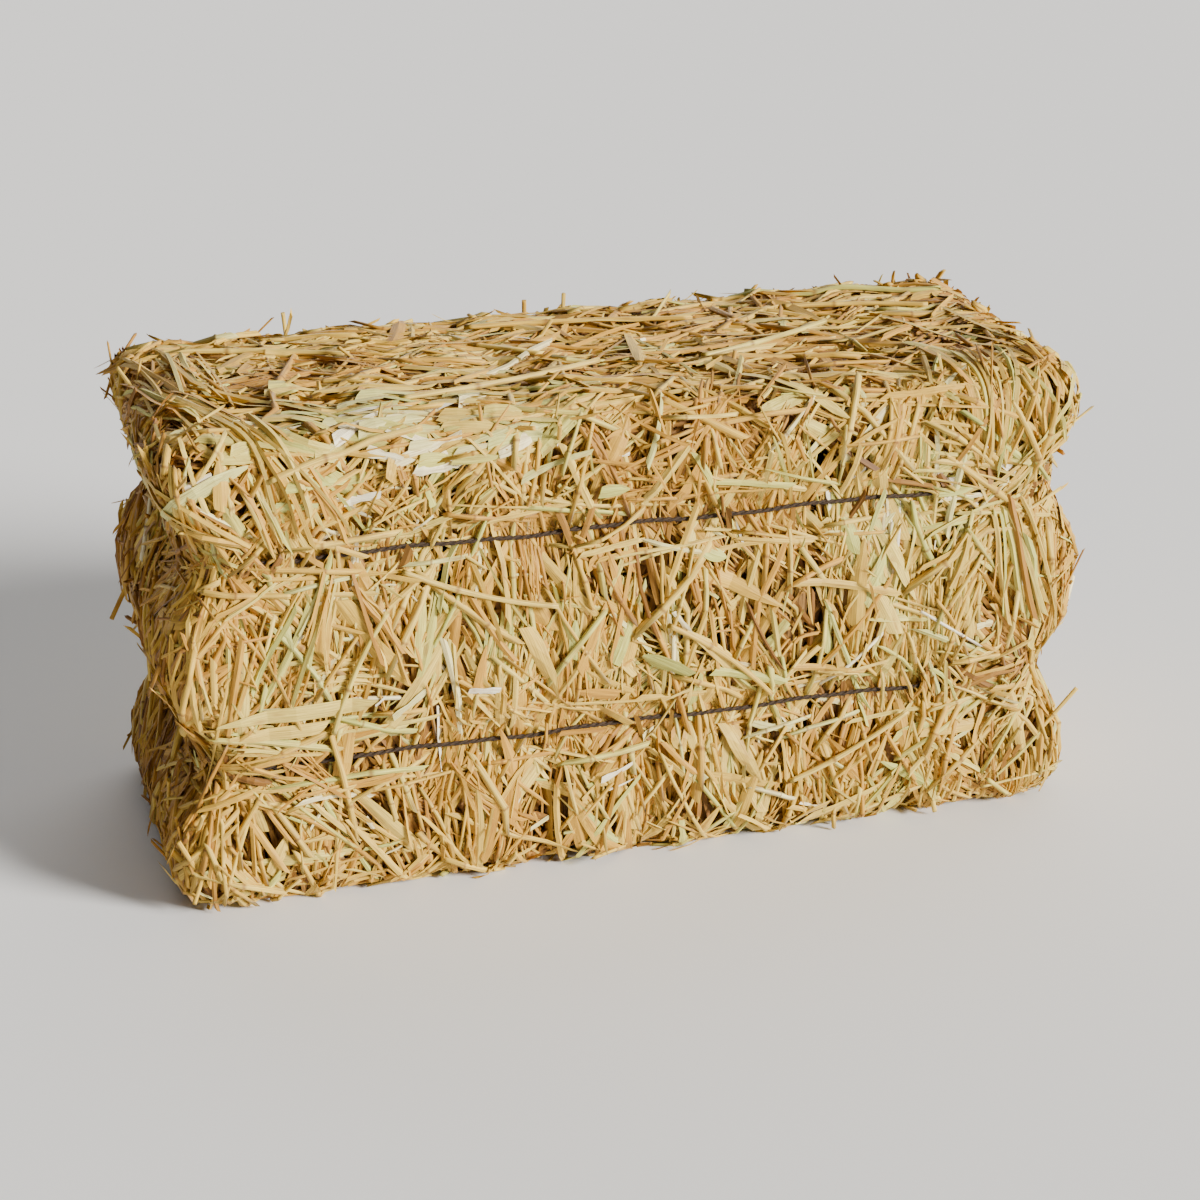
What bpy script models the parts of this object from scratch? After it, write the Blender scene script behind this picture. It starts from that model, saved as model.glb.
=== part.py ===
"""A square hay bale: ten pressed flakes of straw in a row, standing on edge and tied by two loops of baler twine.

Metres, +X along the bale, +Y to the back, +Z up. The origin is the middle of the underside.
A flake is the wad that one stroke of the baler's plunger packs, and falls off whole when the twine is cut.
"""

import math
import random

import bmesh
import bpy
from mathutils import Matrix, Vector, noise
from mathutils.bvhtree import BVHTree

# The pressed bale, without the stalks that stand out of it
LENGTH = 0.900
DEPTH = 0.354
HEIGHT = 0.458
FLAKE_COUNT = 10
FLAKE_GAP = 0.0004
FLAKE_SPREAD = 0.10
CONTACT_LEAN = 0.045

# Rounding of the bale's long edges and of its upright corners
BOTTOM_RADIUS = 0.024
END_BOTTOM_RADIUS = 0.044
TOP_RADIUS = 0.040
LOBE_CORNER = 0.026
WAIST_CORNER = 0.056
CREASE_DEPTH = 0.011
LUMP_HEIGHT = 0.007
LUMP_SIZE = 0.075

# Two loops of twine, each in a waist that it pulls into the straw, deeper at the left end than at the right
TWINE_HEIGHTS = (0.143, 0.344)
TWINE_RADIUS = 0.0021
TWINE_SEAT = 0.0007
TWINE_WANDER = 0.0016
CHANNEL_HALF = 0.005
SIDE_REACH = 0.036
SIDE_BITE = 0.011
END_REACH = 0.082
END_BITES = {-1: 0.036, 1: 0.025}

# The knot at the back of each loop, which holds the twine a little off the straw
KNOT_X = (0.118, -0.072)
RUN_STEPS = 20
END_STEPS = 3
CORNER_STEPS = 5
KNOT_LIFT = 0.0066
KNOT_REACH = 0.050
KNOT_RADIUS = 0.0058
KNOT_WIDTH = 0.0046
KNOT_TAIL = 0.034

# Stalks fused to the flakes
STALK_SIDES = 6
STALK_LENGTH = (0.060, 0.125)
STALK_WIDTH = (0.0065, 0.0105)
STALK_THICKNESS = 0.0050
STALK_MARGIN = 0.003
TWINE_MARGIN = 0.010
STICK_OUT = 0.017
TIP_LENGTH = (0.040, 0.062)
TIP_PITCH = (22, 40)

# Loose stalks that lie across several flakes
LOOSE_RADIUS = 0.0026
LOOSE_CLEARANCE = 0.0010
LOOSE_POINTS = 6
LOOSE_TRIES = 14
SEED = 41

STRAW = (0.62, 0.47, 0.23, 1.0)
LOOSE_STRAW = (0.72, 0.58, 0.33, 1.0)
TWINE = (0.10, 0.06, 0.035, 1.0)


def clear_scene():
    for old in list(bpy.data.objects):
        bpy.data.objects.remove(old, do_unlink=True)


def collection_named(name):
    made = bpy.data.collections.new(name)
    bpy.context.scene.collection.children.link(made)
    return made


def material_named(name, colour, roughness):
    made = bpy.data.materials.new(name)
    made.use_nodes = True
    shader = made.node_tree.nodes["Principled BSDF"]
    shader.inputs["Base Color"].default_value = colour
    shader.inputs["Roughness"].default_value = roughness
    shader.inputs["Metallic"].default_value = 0.0
    return made


def object_from(bm, name, collection, material):
    mesh = bpy.data.meshes.new(name)
    bm.to_mesh(mesh)
    bm.free()
    mesh.materials.append(material)
    made = bpy.data.objects.new(name, mesh)
    collection.objects.link(made)
    return made


# The bale's envelope


def pinch(z, reach=SIDE_REACH):
    """1 in the channel where a loop of twine lies, easing to 0 at the given reach above and below it."""
    nearest = min(abs(z - level) for level in TWINE_HEIGHTS)
    share = min(1.0, max(0.0, (nearest - CHANNEL_HALF) / reach))
    return 0.5 + 0.5 * math.cos(math.pi * share)


def edge_inset(z, bottom_radius):
    """How far a side lies in at this height, where its top and bottom edges are rounded."""
    radius, inside = (bottom_radius, z) if z < HEIGHT / 2 else (TOP_RADIUS, HEIGHT - z)
    if inside >= radius:
        return 0.0
    return radius - math.sqrt(radius**2 - (radius - inside) ** 2)


def half_depth(z):
    return DEPTH / 2 - SIDE_BITE * pinch(z) - edge_inset(z, BOTTOM_RADIUS)


def half_length(z, end):
    """From the middle to the outside of the left end, -1, or of the right end, 1."""
    return LENGTH / 2 - END_BITES[end] * pinch(z, END_REACH) - edge_inset(z, END_BOTTOM_RADIUS)


def corner_radius(z):
    return LOBE_CORNER + (WAIST_CORNER - LOBE_CORNER) * pinch(z)


def lump(point):
    """Height of the soft swellings of the pressed straw, none where the twine holds it."""
    return LUMP_HEIGHT * noise.noise(point / LUMP_SIZE) * (1 - pinch(point.z, END_REACH))


def rounded_corner(x, y, z):
    """Pulls a point of the square plan in to the rounded plan of this height."""
    radius = corner_radius(z)
    inner_x = half_length(z, -1 if x < 0 else 1) - radius
    inner_y = half_depth(z) - radius
    away = Vector((max(0.0, abs(x) - inner_x), max(0.0, abs(y) - inner_y)))
    if min(away) <= 0:
        return x, y
    away *= max(away) / away.length
    return math.copysign(inner_x + away.x, x), math.copysign(inner_y + away.y, y)


# The flakes


def contact_planes(rng):
    """(x, lean) of each plane where two flakes meet, and of the two ends."""
    shares = [1 + rng.uniform(-FLAKE_SPREAD, FLAKE_SPREAD) for _ in range(FLAKE_COUNT)]
    planes = [(-LENGTH / 2, 0.0)]
    for share in shares[:-1]:
        thickness = share / sum(shares) * LENGTH
        planes.append((planes[-1][0] + thickness, rng.uniform(-CONTACT_LEAN, CONTACT_LEAN)))
    return planes + [(LENGTH / 2, 0.0)]


def plane_x(plane, z):
    return plane[0] + plane[1] * (z - HEIGHT / 2)


def rows_up():
    """Heights of a flake's rows of points, close together at the edges and at the twine."""
    rows = [0.0, 0.3 * BOTTOM_RADIUS, BOTTOM_RADIUS, END_BOTTOM_RADIUS, sum(TWINE_HEIGHTS) / 2]
    for level in TWINE_HEIGHTS:
        for away in (CHANNEL_HALF, CHANNEL_HALF + 0.5 * SIDE_REACH, CHANNEL_HALF + 1.35 * SIDE_REACH):
            rows += [level - away, level + away]
    return sorted(rows + [HEIGHT - 0.6 * TOP_RADIUS, HEIGHT - 0.2 * TOP_RADIUS, HEIGHT])


COLUMNS = (0.0, 0.14, 0.5, 0.86, 1.0)
ACROSS = (-1.0, -0.85, -0.4, 0.4, 0.85, 1.0)
ROWS = rows_up()


def grid_block():
    """A block with COLUMNS by ACROSS by ROWS points on its six sides, at their whole-number places."""
    counts = [len(COLUMNS) - 1, len(ACROSS) - 1, len(ROWS) - 1]
    bm = bmesh.new()
    bmesh.ops.create_cube(bm, size=1.0)
    bmesh.ops.translate(bm, vec=(0.5, 0.5, 0.5), verts=bm.verts)
    bmesh.ops.scale(bm, vec=counts, verts=bm.verts)
    for axis, count in enumerate(counts):
        for cut in range(1, count):
            where, facing = [0, 0, 0], [0, 0, 0]
            where[axis], facing[axis] = cut, 1
            geometry = bm.verts[:] + bm.edges[:] + bm.faces[:]
            bmesh.ops.bisect_plane(bm, geom=geometry, plane_co=where, plane_no=facing)
    return bm


def flatten_contact(bm, column):
    """Makes the flat side against the next flake one face."""
    inner = []
    for v in bm.verts:
        inside_y = 0 < round(v.co.y) < len(ACROSS) - 1
        inside_z = 0 < round(v.co.z) < len(ROWS) - 1
        if round(v.co.x) == column and inside_y and inside_z:
            inner.append(v)
    bmesh.ops.dissolve_verts(bm, verts=inner)


def crease(share, first, last):
    """How far a flake's outside dips: 0 in its middle, 1 where it meets the next flake."""
    if (first and share < 0.5) or (last and share > 0.5):
        return 0.0
    return abs(2 * share - 1) ** 5


def flake_point(column, across, row, low, high):
    """Where a point of the block lies in the flake between the contact planes low and high."""
    z = ROWS[row]
    share = COLUMNS[column]
    first = low[0] <= -LENGTH / 2
    last = high[0] >= LENGTH / 2
    left = -half_length(z, -1) if first else plane_x(low, z)
    right = half_length(z, 1) if last else plane_x(high, z)
    dip = crease(share, first, last) * CREASE_DEPTH * (1 - 0.7 * pinch(z))
    spot = Vector((left + (right - left) * share, ACROSS[across] * (half_depth(z) - dip), z))
    if row and across in (0, len(ACROSS) - 1):
        spot.y += math.copysign(lump(spot), spot.y)
    if row == len(ROWS) - 1:
        spot.z += lump(spot) - dip
    spot.x, spot.y = rounded_corner(spot.x, spot.y, z)
    if column == 0:
        spot.x = spot.x - lump(spot) if first else plane_x(low, spot.z) + FLAKE_GAP / 2
    if column == len(COLUMNS) - 1:
        spot.x = spot.x + lump(spot) if last else plane_x(high, spot.z) - FLAKE_GAP / 2
    return spot


def flake_mesh(index, planes):
    low, high = planes[index], planes[index + 1]
    bm = grid_block()
    if index > 0:
        flatten_contact(bm, 0)
    if index < FLAKE_COUNT - 1:
        flatten_contact(bm, len(COLUMNS) - 1)
    for v in bm.verts:
        v.co = flake_point(round(v.co.x), round(v.co.y), round(v.co.z), low, high)
    return bm


# Stalks fused to a flake: most lie half sunk in its outside, and some stand out of it


class Skin:
    """The outside of the pieces made so far, for laying stalks on them."""

    def __init__(self):
        self.trees = []

    def add(self, bm):
        self.trees.append(BVHTree.FromBMesh(bm))

    def hit(self, start, way):
        """(point, normal) where a line from outside first meets a piece, or None."""
        found = [tree.ray_cast(start, way) for tree in self.trees]
        found = [f for f in found if f[0] is not None]
        if not found:
            return None
        nearest = min(found, key=lambda f: f[3])
        return nearest[0], nearest[1]


def flat_bar(middle, along, outward, length, width):
    """A flattened stalk, wider than it is thick and a little narrower at its far end."""
    side = outward.cross(along).normalized()
    turn = Matrix((side, along.cross(side), along)).transposed().to_4x4()
    bm = bmesh.new()
    bmesh.ops.create_cone(
        bm, cap_ends=True, segments=STALK_SIDES, radius1=0.5, radius2=0.4, depth=1.0
    )
    bmesh.ops.scale(bm, vec=(width, STALK_THICKNESS, length), verts=bm.verts)
    bmesh.ops.transform(bm, matrix=Matrix.Translation(middle) @ turn, verts=bm.verts)
    return bm


def fits_flake(bm, low, high):
    """Whether a stalk keeps clear of the next flakes, the twine and the ground, and stands out only a little."""
    for v in bm.verts:
        x, y, z = v.co
        if low[0] > -LENGTH / 2 and x < plane_x(low, z) + STALK_MARGIN:
            return False
        if high[0] < LENGTH / 2 and x > plane_x(high, z) - STALK_MARGIN:
            return False
        if max(abs(x) - LENGTH / 2, abs(y) - DEPTH / 2, z - HEIGHT) > STICK_OUT:
            return False
    bottom = min(v.co.z for v in bm.verts)
    top = max(v.co.z for v in bm.verts)
    crosses = any(bottom < z + TWINE_MARGIN and top > z - TWINE_MARGIN for z in TWINE_HEIGHTS)
    return bottom > STALK_MARGIN and not crosses


def turned(way, axis, degrees):
    return Matrix.Rotation(math.radians(degrees), 3, axis) @ way


def try_stalk(rng, skin, low, high, facing, grain, tip):
    """A stalk on the side of a flake that faces the given way, roughly along the grain, or None."""
    x = rng.uniform(plane_x(low, HEIGHT / 2), plane_x(high, HEIGHT / 2))
    y = rng.uniform(-0.44, 0.44) * DEPTH
    z = rng.uniform(0.03, 0.98) * HEIGHT
    start = Vector((x, y, z)) + facing * LENGTH
    met = skin.hit(start, -facing)
    if met is None:
        return None
    point, normal = met
    spread = 55 if tip else 26
    along = turned(grain, facing, rng.gauss(0, spread))
    along = (along - normal * along.dot(normal)).normalized()
    width = rng.uniform(*STALK_WIDTH)
    sink = 0.12 * STALK_THICKNESS
    length = rng.uniform(*(TIP_LENGTH if tip else STALK_LENGTH))
    if tip:
        along = turned(along, along.cross(normal), rng.uniform(*TIP_PITCH))
        width *= 0.75
    bm = flat_bar(point + normal * sink, along, normal, length, width)
    if fits_flake(bm, low, high):
        return bm
    bm.free()
    return None


def stalks_of_flake(rng, index, planes, skin):
    """Bars for one flake, by the side of the bale that they lie on."""
    front, back, top = Vector((0, -1, 0)), Vector((0, 1, 0)), Vector((0, 0, 1))
    wanted = [(front, top, False)] * 2 + [(back, top, False), (top, back, False)]
    wanted += [(top, back, True), (rng.choice((front, back)), top, True)]
    if index in (0, FLAKE_COUNT - 1):
        end = Vector((-1 if index == 0 else 1, 0, 0))
        wanted += [(end, top, False)] * 3 + [(end, top, True)] * 2
    bars = []
    for facing, grain, tip in wanted:
        made = None
        while made is None:
            made = try_stalk(rng, skin, planes[index], planes[index + 1], facing, grain, tip)
        bars.append(made)
    return bars


def join_all(piece, helpers):
    """Unites a piece with every solid of a collection, which is hidden."""
    for helper in helpers.objects:
        helper.hide_render = True
        helper.display_type = "WIRE"
    join = piece.modifiers.new(helpers.name, "BOOLEAN")
    join.operation = "UNION"
    join.solver = "EXACT"
    join.operand_type = "COLLECTION"
    join.collection = helpers


def make_flake(rng, index, planes, pieces, straw, skin):
    """A flake with its stalks joined to it."""
    name = f"flake_{index + 1:02d}"
    bm = flake_mesh(index, planes)
    own_skin = Skin()
    own_skin.add(bm)
    skin.add(bm)
    flake = object_from(bm, name, pieces, straw)
    helpers = collection_named(f"{name}_stalks")
    for number, bar in enumerate(stalks_of_flake(rng, index, planes, own_skin), 1):
        skin.add(bar)
        object_from(bar, f"{name}_stalk_{number}", helpers, straw)
    join_all(flake, helpers)
    return flake


# The twine


def wire_curve(name, points, radius, collection, cyclic=False):
    """A six-sided tube through the points."""
    curve = bpy.data.curves.new(name, "CURVE")
    curve.dimensions = "3D"
    curve.bevel_depth = radius
    curve.bevel_resolution = 1
    curve.use_fill_caps = not cyclic
    spline = curve.splines.new("POLY")
    spline.points.add(len(points) - 1)
    for place, point in zip(spline.points, points):
        place.co = (*point, 1.0)
    spline.use_cyclic_u = cyclic
    made = bpy.data.objects.new(name, curve)
    collection.objects.link(made)
    return made


def as_mesh(curve_object, name, collection, material):
    """The curve's tube as a mesh object with its caps welded on. The curve is removed."""
    bpy.context.view_layer.update()
    graph = bpy.context.evaluated_depsgraph_get()
    mesh = bpy.data.meshes.new_from_object(curve_object.evaluated_get(graph))
    place = curve_object.matrix_world.copy()
    bpy.data.objects.remove(curve_object, do_unlink=True)
    bm = bmesh.new()
    bm.from_mesh(mesh)
    bmesh.ops.remove_doubles(bm, verts=bm.verts, dist=1e-5)
    bmesh.ops.recalc_face_normals(bm, faces=bm.faces)
    made = object_from(bm, name, collection, material)
    made.matrix_world = place
    return made


def line_between(start, end, count):
    """Points between two points, without the two."""
    return [start.lerp(end, i / count) for i in range(1, count)]


def twine_route(level, knot_x):
    """Points round the bale in the waist at this height, lifted off the straw at the knot."""
    off = TWINE_RADIUS + TWINE_SEAT
    radius = corner_radius(level) + off
    inner_y = half_depth(level) + off - radius
    plan = []
    for corner, (end, side) in enumerate(((1, -1), (1, 1), (-1, 1), (-1, -1))):
        centre = Vector((end * (half_length(level, end) + off - radius), side * inner_y))
        arc = []
        for step in range(CORNER_STEPS + 1):
            angle = math.radians(90 * (corner - 1 + step / CORNER_STEPS))
            arc.append(centre + radius * Vector((math.cos(angle), math.sin(angle))))
        if plan:
            plan += line_between(plan[-1], arc[0], RUN_STEPS if corner == 2 else END_STEPS)
        plan += arc
    plan += line_between(plan[-1], plan[0], RUN_STEPS)
    route = []
    for number, place in enumerate(plan):
        near = max(0.0, 1 - abs(place.x - knot_x) / KNOT_REACH) if place.y > inner_y + radius / 2 else 0
        lift = KNOT_LIFT * near * near * (3 - 2 * near)
        wander = TWINE_WANDER * math.sin(1.7 * number + 9 * level)
        route.append(Vector((place.x, place.y + lift, level + wander)))
    return route


def knot_turn(name, collection, material, place, turn):
    """One turn of the knot round the twine, solid in its middle."""
    bm = bmesh.new()
    bmesh.ops.create_cone(
        bm, cap_ends=True, segments=10, radius1=KNOT_RADIUS, radius2=KNOT_RADIUS, depth=KNOT_WIDTH
    )
    rim = [e for e in bm.edges if e.calc_face_angle() > 1.2]
    bmesh.ops.bevel(
        bm, geom=rim, offset=0.3 * KNOT_WIDTH, affect="EDGES", segments=1, profile=0.5, material=-1
    )
    made = object_from(bm, name, collection, material)
    made.location = place
    made.rotation_euler = [math.radians(a) for a in turn]


def make_twine(name, level, knot_x, pieces, material, skin):
    """A closed loop of twine with its knot and the two cut tails at the back."""
    helpers = collection_named(f"{name}_knot")
    route = twine_route(level, knot_x)
    loop = as_mesh(wire_curve(name, route, TWINE_RADIUS, pieces, True), name, pieces, material)
    back = half_depth(level) + TWINE_SEAT + TWINE_RADIUS + KNOT_LIFT
    middle = Vector((knot_x, back, level))
    knot_turn(f"{name}_turn_1", helpers, material, middle, (0, 90, 28))
    knot_turn(f"{name}_turn_2", helpers, material, middle + Vector((0.004, 0, 0)), (20, 90, -30))
    for number, side in enumerate((-1, 1), 1):
        start = middle + Vector((side * 0.001, 0.001, 0.001 * side))
        bend = middle + Vector((side * 0.45 * KNOT_TAIL, 0.0062, 0.0040 * side))
        tip = middle + Vector((side * 0.8 * KNOT_TAIL, 0.0075, 0.0022 - 0.0125 * number))
        tail = wire_curve(f"{name}_tail_{number}", (start, bend, tip), TWINE_RADIUS * 0.94, helpers)
        as_mesh(tail, f"{name}_tail_{number}", helpers, material)
    join_all(loop, helpers)
    bm = bmesh.new()
    bm.from_mesh(loop.data)
    skin.add(bm)
    bm.free()
    return loop


# Loose stalks


def resting_line(heights):
    """Heights of the two ends of a straight stalk that rests on a bump on each side of its middle."""
    last = len(heights) - 1
    best = None
    for left in range(last // 2 + 1):
        for right in range(last // 2 + 1, last + 1):
            slope = (heights[right] - heights[left]) / (right - left)
            start = heights[left] - slope * left
            over = max(h - (start + slope * i) for i, h in enumerate(heights))
            middle = start + slope * last / 2
            if over < 1e-6 and (best is None or middle > best[0]):
                best = (middle, start, start + slope * last)
    return best[1:]


def rest_route(skin, facing, middle, along, length, bow):
    """(height, points) of a stalk's middle line where it rests on the side of the bale that faces the given way."""
    side = facing.cross(along).normalized()
    steps = 40
    low_points, heights = [], []
    for i in range(steps + 1):
        share = i / steps
        across = side * bow * (4 * share * (1 - share) - 0.5)
        place = middle + along * (share - 0.5) * length + across
        low_points.append(place)
        found = []
        for sideways in (-1.1, -0.55, 0.0, 0.55, 1.1):
            met = skin.hit(place + side * LOOSE_RADIUS * sideways + facing * LENGTH, -facing)
            if met:
                found.append((met[0] - place).dot(facing))
        heights.append(max(found) + LOOSE_RADIUS + LOOSE_CLEARANCE)
    start, end = resting_line(heights)
    route = []
    for i in range(LOOSE_POINTS):
        at = round(i * steps / (LOOSE_POINTS - 1))
        route.append(low_points[at] + facing * (start + (end - start) * at / steps))
    return (start + end) / 2, route


# Each row: side of the bale, place on it as shares of length and of height or depth,
# angle from the bale's length in degrees, length, sideways bow
LOOSE_STALKS = (
    ("top", -0.33, 0.20, -14, 0.185, 0.006),
    ("top", -0.14, -0.22, 9, 0.210, -0.008),
    ("top", 0.02, 0.27, -6, 0.230, 0.007),
    ("top", 0.21, -0.05, 21, 0.165, -0.005),
    ("top", 0.35, 0.22, -18, 0.150, 0.006),
    ("front", -0.32, 0.53, 63, 0.128, 0.005),
    ("front", -0.16, 0.62, -17, 0.150, -0.006),
    ("front", 0.07, 0.45, -35, 0.140, 0.006),
    ("front", 0.24, 0.17, 24, 0.135, -0.005),
    ("back", -0.28, 0.55, 40, 0.150, 0.006),
    ("back", 0.02, 0.50, -28, 0.160, -0.006),
    ("back", 0.31, 0.56, 12, 0.140, 0.005),
)
FACINGS = {"top": Vector((0, 0, 1)), "front": Vector((0, -1, 0)), "back": Vector((0, 1, 0))}


def make_loose_stalks(rng, skin, pieces, material):
    """Lays each loose stalk near its place, at whichever of a few tries it lies lowest."""
    for number, (side, share_x, share_up, angle, length, bow) in enumerate(LOOSE_STALKS, 1):
        facing = FACINGS[side]
        tries = []
        for _ in range(LOOSE_TRIES):
            shift_x, shift_up = rng.uniform(-0.02, 0.02), rng.uniform(-0.03, 0.03)
            middle = Vector(((share_x + shift_x) * LENGTH, (share_up + shift_up) * DEPTH, HEIGHT))
            if side != "top":
                middle.y, middle.z = facing.y * DEPTH / 2, (share_up + shift_up) * HEIGHT
            along = turned(Vector((1, 0, 0)), facing, angle + rng.uniform(-6, 6))
            tries.append(rest_route(skin, facing, middle, along, length, bow))
        route = min(tries, key=lambda found: found[0])[1]
        name = f"loose_stalk_{number:02d}"
        as_mesh(wire_curve(name, route, LOOSE_RADIUS, pieces), name, pieces, material)


def centre_on_base(pieces):
    """Parents everything to one empty and moves it so that the middle of the box's underside is the origin."""
    bpy.context.view_layer.update()
    graph = bpy.context.evaluated_depsgraph_get()
    corners = []
    for piece in pieces.objects:
        evaluated = piece.evaluated_get(graph)
        corners += [evaluated.matrix_world @ Vector(c) for c in evaluated.bound_box]
    low = [min(c[axis] for c in corners) for axis in range(3)]
    high = [max(c[axis] for c in corners) for axis in range(3)]
    bale = bpy.data.objects.new("bale", None)
    pieces.objects.link(bale)
    for piece in bpy.data.objects:
        if piece != bale and piece.parent is None:
            piece.parent = bale
    bale.location = (-(low[0] + high[0]) / 2, -(low[1] + high[1]) / 2, -low[2])


def main():
    rng = random.Random(SEED)
    clear_scene()
    pieces = collection_named("hay_bale")
    straw = material_named("straw", STRAW, 0.75)
    loose_straw = material_named("loose_straw", LOOSE_STRAW, 0.6)
    twine = material_named("twine", TWINE, 0.85)
    planes = contact_planes(rng)
    skin = Skin()
    for index in range(FLAKE_COUNT):
        make_flake(rng, index, planes, pieces, straw, skin)
    for name, level, knot_x in zip(("twine_lower", "twine_upper"), TWINE_HEIGHTS, KNOT_X):
        make_twine(name, level, knot_x, pieces, twine, skin)
    make_loose_stalks(rng, skin, pieces, loose_straw)
    centre_on_base(pieces)


main()
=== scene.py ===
# %% [markdown]
# # A square bale of golden straw
#
# A small square bale is about ten flakes of pressed straw in a row, held by two loops of baler twine.
# What the eye meets is thousands of single stalks: round ones, ones crushed flat by the plunger, leaf
# blades and chaff, in tufts that point the same way. The solids give the form of the flakes, the twine
# and the few loose stalks. This notebook lays the stalks on them.

# %% Load the solids
import math

import bmesh
import bpy
import numpy as np
from mathutils import Matrix, Vector, noise
from mathutils.bvhtree import BVHTree


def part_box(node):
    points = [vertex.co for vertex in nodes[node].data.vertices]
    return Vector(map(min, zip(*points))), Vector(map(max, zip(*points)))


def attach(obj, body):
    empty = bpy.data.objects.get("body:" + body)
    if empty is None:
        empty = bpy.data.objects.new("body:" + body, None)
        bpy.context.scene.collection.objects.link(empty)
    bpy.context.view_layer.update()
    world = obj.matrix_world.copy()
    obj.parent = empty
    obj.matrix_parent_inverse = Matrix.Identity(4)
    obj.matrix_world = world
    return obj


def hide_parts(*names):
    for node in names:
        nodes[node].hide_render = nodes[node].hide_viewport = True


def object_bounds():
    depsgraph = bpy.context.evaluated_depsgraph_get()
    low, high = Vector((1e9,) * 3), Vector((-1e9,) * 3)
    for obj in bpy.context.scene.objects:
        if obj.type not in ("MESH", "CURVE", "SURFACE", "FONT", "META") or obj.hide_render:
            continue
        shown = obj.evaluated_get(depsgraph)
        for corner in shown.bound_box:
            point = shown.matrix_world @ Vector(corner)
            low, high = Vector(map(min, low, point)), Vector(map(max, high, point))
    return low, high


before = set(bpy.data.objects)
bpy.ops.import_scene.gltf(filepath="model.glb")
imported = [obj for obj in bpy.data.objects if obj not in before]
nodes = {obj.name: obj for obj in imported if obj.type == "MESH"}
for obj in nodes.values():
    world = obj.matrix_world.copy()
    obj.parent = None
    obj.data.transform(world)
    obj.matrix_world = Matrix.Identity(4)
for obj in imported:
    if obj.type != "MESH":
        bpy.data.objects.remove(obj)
cad_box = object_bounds()
flakes = [nodes[name] for name in sorted(nodes) if name.startswith("flake")]
rng = np.random.default_rng(11)
print("flakes:", len(flakes), " box:", [round(c, 3) for c in (*cad_box[0], *cad_box[1])])

# %% [markdown]
# ## The outside of the bale as one surface
#
# Stalks cross from flake to flake. Laid on the solid flakes one by one they would fold into the
# seams, so they need one surface. The flakes are joined and remeshed to one skin, which fills the
# seams and drops the thin stalks of the solids. Each question about a place on the bale is then a
# search on this skin.

# %% One skin over all the flakes


def new_object(name, data):
    """A new object in the scene, which shows a mesh, or is a lamp or a camera."""
    made = bpy.data.objects.new(name, data)
    bpy.context.scene.collection.objects.link(made)
    return made


def drop_crumbs(mesh):
    """Keeps only the largest body. The others are crumbs that the remesh left of thin stalks."""
    bm = bmesh.new()
    bm.from_mesh(mesh)
    bm.verts.ensure_lookup_table()
    seen, bodies = [False] * len(bm.verts), []
    for start in bm.verts:
        if seen[start.index]:
            continue
        seen[start.index] = True
        body, waiting = [], [start]
        while waiting:
            v = waiting.pop()
            body.append(v)
            for edge in v.link_edges:
                other = edge.other_vert(v)
                if not seen[other.index]:
                    seen[other.index] = True
                    waiting.append(other)
        bodies.append(body)
    bodies.sort(key=len)
    bmesh.ops.delete(bm, geom=[v for body in bodies[:-1] for v in body], context="VERTS")
    bm.to_mesh(mesh)
    bm.free()


def remeshed(name, sources, cell, smoothing):
    """The sources joined, made of even faces of about the given size, and smoothed."""
    bm = bmesh.new()
    for source in sources:
        bm.from_mesh(source.data)
    mesh = bpy.data.meshes.new(name)
    bm.to_mesh(mesh)
    bm.free()
    made = new_object(name, mesh)
    remesh = made.modifiers.new("even", "REMESH")
    remesh.mode = "VOXEL"
    remesh.voxel_size = cell
    smooth = made.modifiers.new("smooth", "SMOOTH")
    smooth.iterations = smoothing
    bpy.context.view_layer.update()
    graph = bpy.context.evaluated_depsgraph_get()
    even = bpy.data.meshes.new_from_object(made.evaluated_get(graph))
    bpy.data.objects.remove(made, do_unlink=True)
    drop_crumbs(even)
    return even


SKIN_CELL, SKIN_SMOOTHING = 0.0095, 8
# The corners of a box that lies well inside the bale
INNER_LOW, INNER_HIGH = (-0.375, -0.09, 0.08), (0.375, 0.09, 0.37)

skin = remeshed("skin", flakes, SKIN_CELL, SKIN_SMOOTHING)
skin_bm = bmesh.new()
skin_bm.from_mesh(skin)
bmesh.ops.triangulate(skin_bm, faces=skin_bm.faces)
skin_tree = BVHTree.FromBMesh(skin_bm)
skin_areas = np.array([f.calc_area() for f in skin_bm.faces])
skin_normals = np.array([f.normal[:] for f in skin_bm.faces])
skin_corners = np.array([[v.co[:] for v in f.verts] for f in skin_bm.faces])
skin_centres = skin_corners.mean(axis=1)


def onto_skin(points):
    """(places, normals) where straight lines out of the inner box, through the points, meet the skin.
    Points along a chord that cuts an edge of the bale land evenly round the edge."""
    inner = np.clip(points, INNER_LOW, INNER_HIGH)
    hits = [skin_tree.ray_cast(a, b) for a, b in zip(inner.tolist(), (points - inner).tolist())]
    hits = [hit if hit[0] else skin_tree.find_nearest(p) for hit, p in zip(hits, points.tolist())]
    return np.array([hit[0][:] for hit in hits]), np.array([hit[1][:] for hit in hits])


def facing_at(points):
    """The outward directions of the skin where it is nearest to the points."""
    return np.array([skin_tree.find_nearest(p)[1][:] for p in points.tolist()])


print("skin faces:", len(skin_areas), " area in square metres:", round(skin_areas.sum(), 3))

# %% [markdown]
# ## The twine's route
#
# Baler twine runs once round the length of the bale at each level, in a waist that it cuts into the straw.
# Its plan is a rectangle with round corners, measured from the corners of the solid twine.
# Stalks must know the route too, because most of them pass under the twine and a few lie over it.

# %% Measure the two loops
TWINE_RADIUS = 0.0021
TWINE_CORNER = 0.0588
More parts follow.
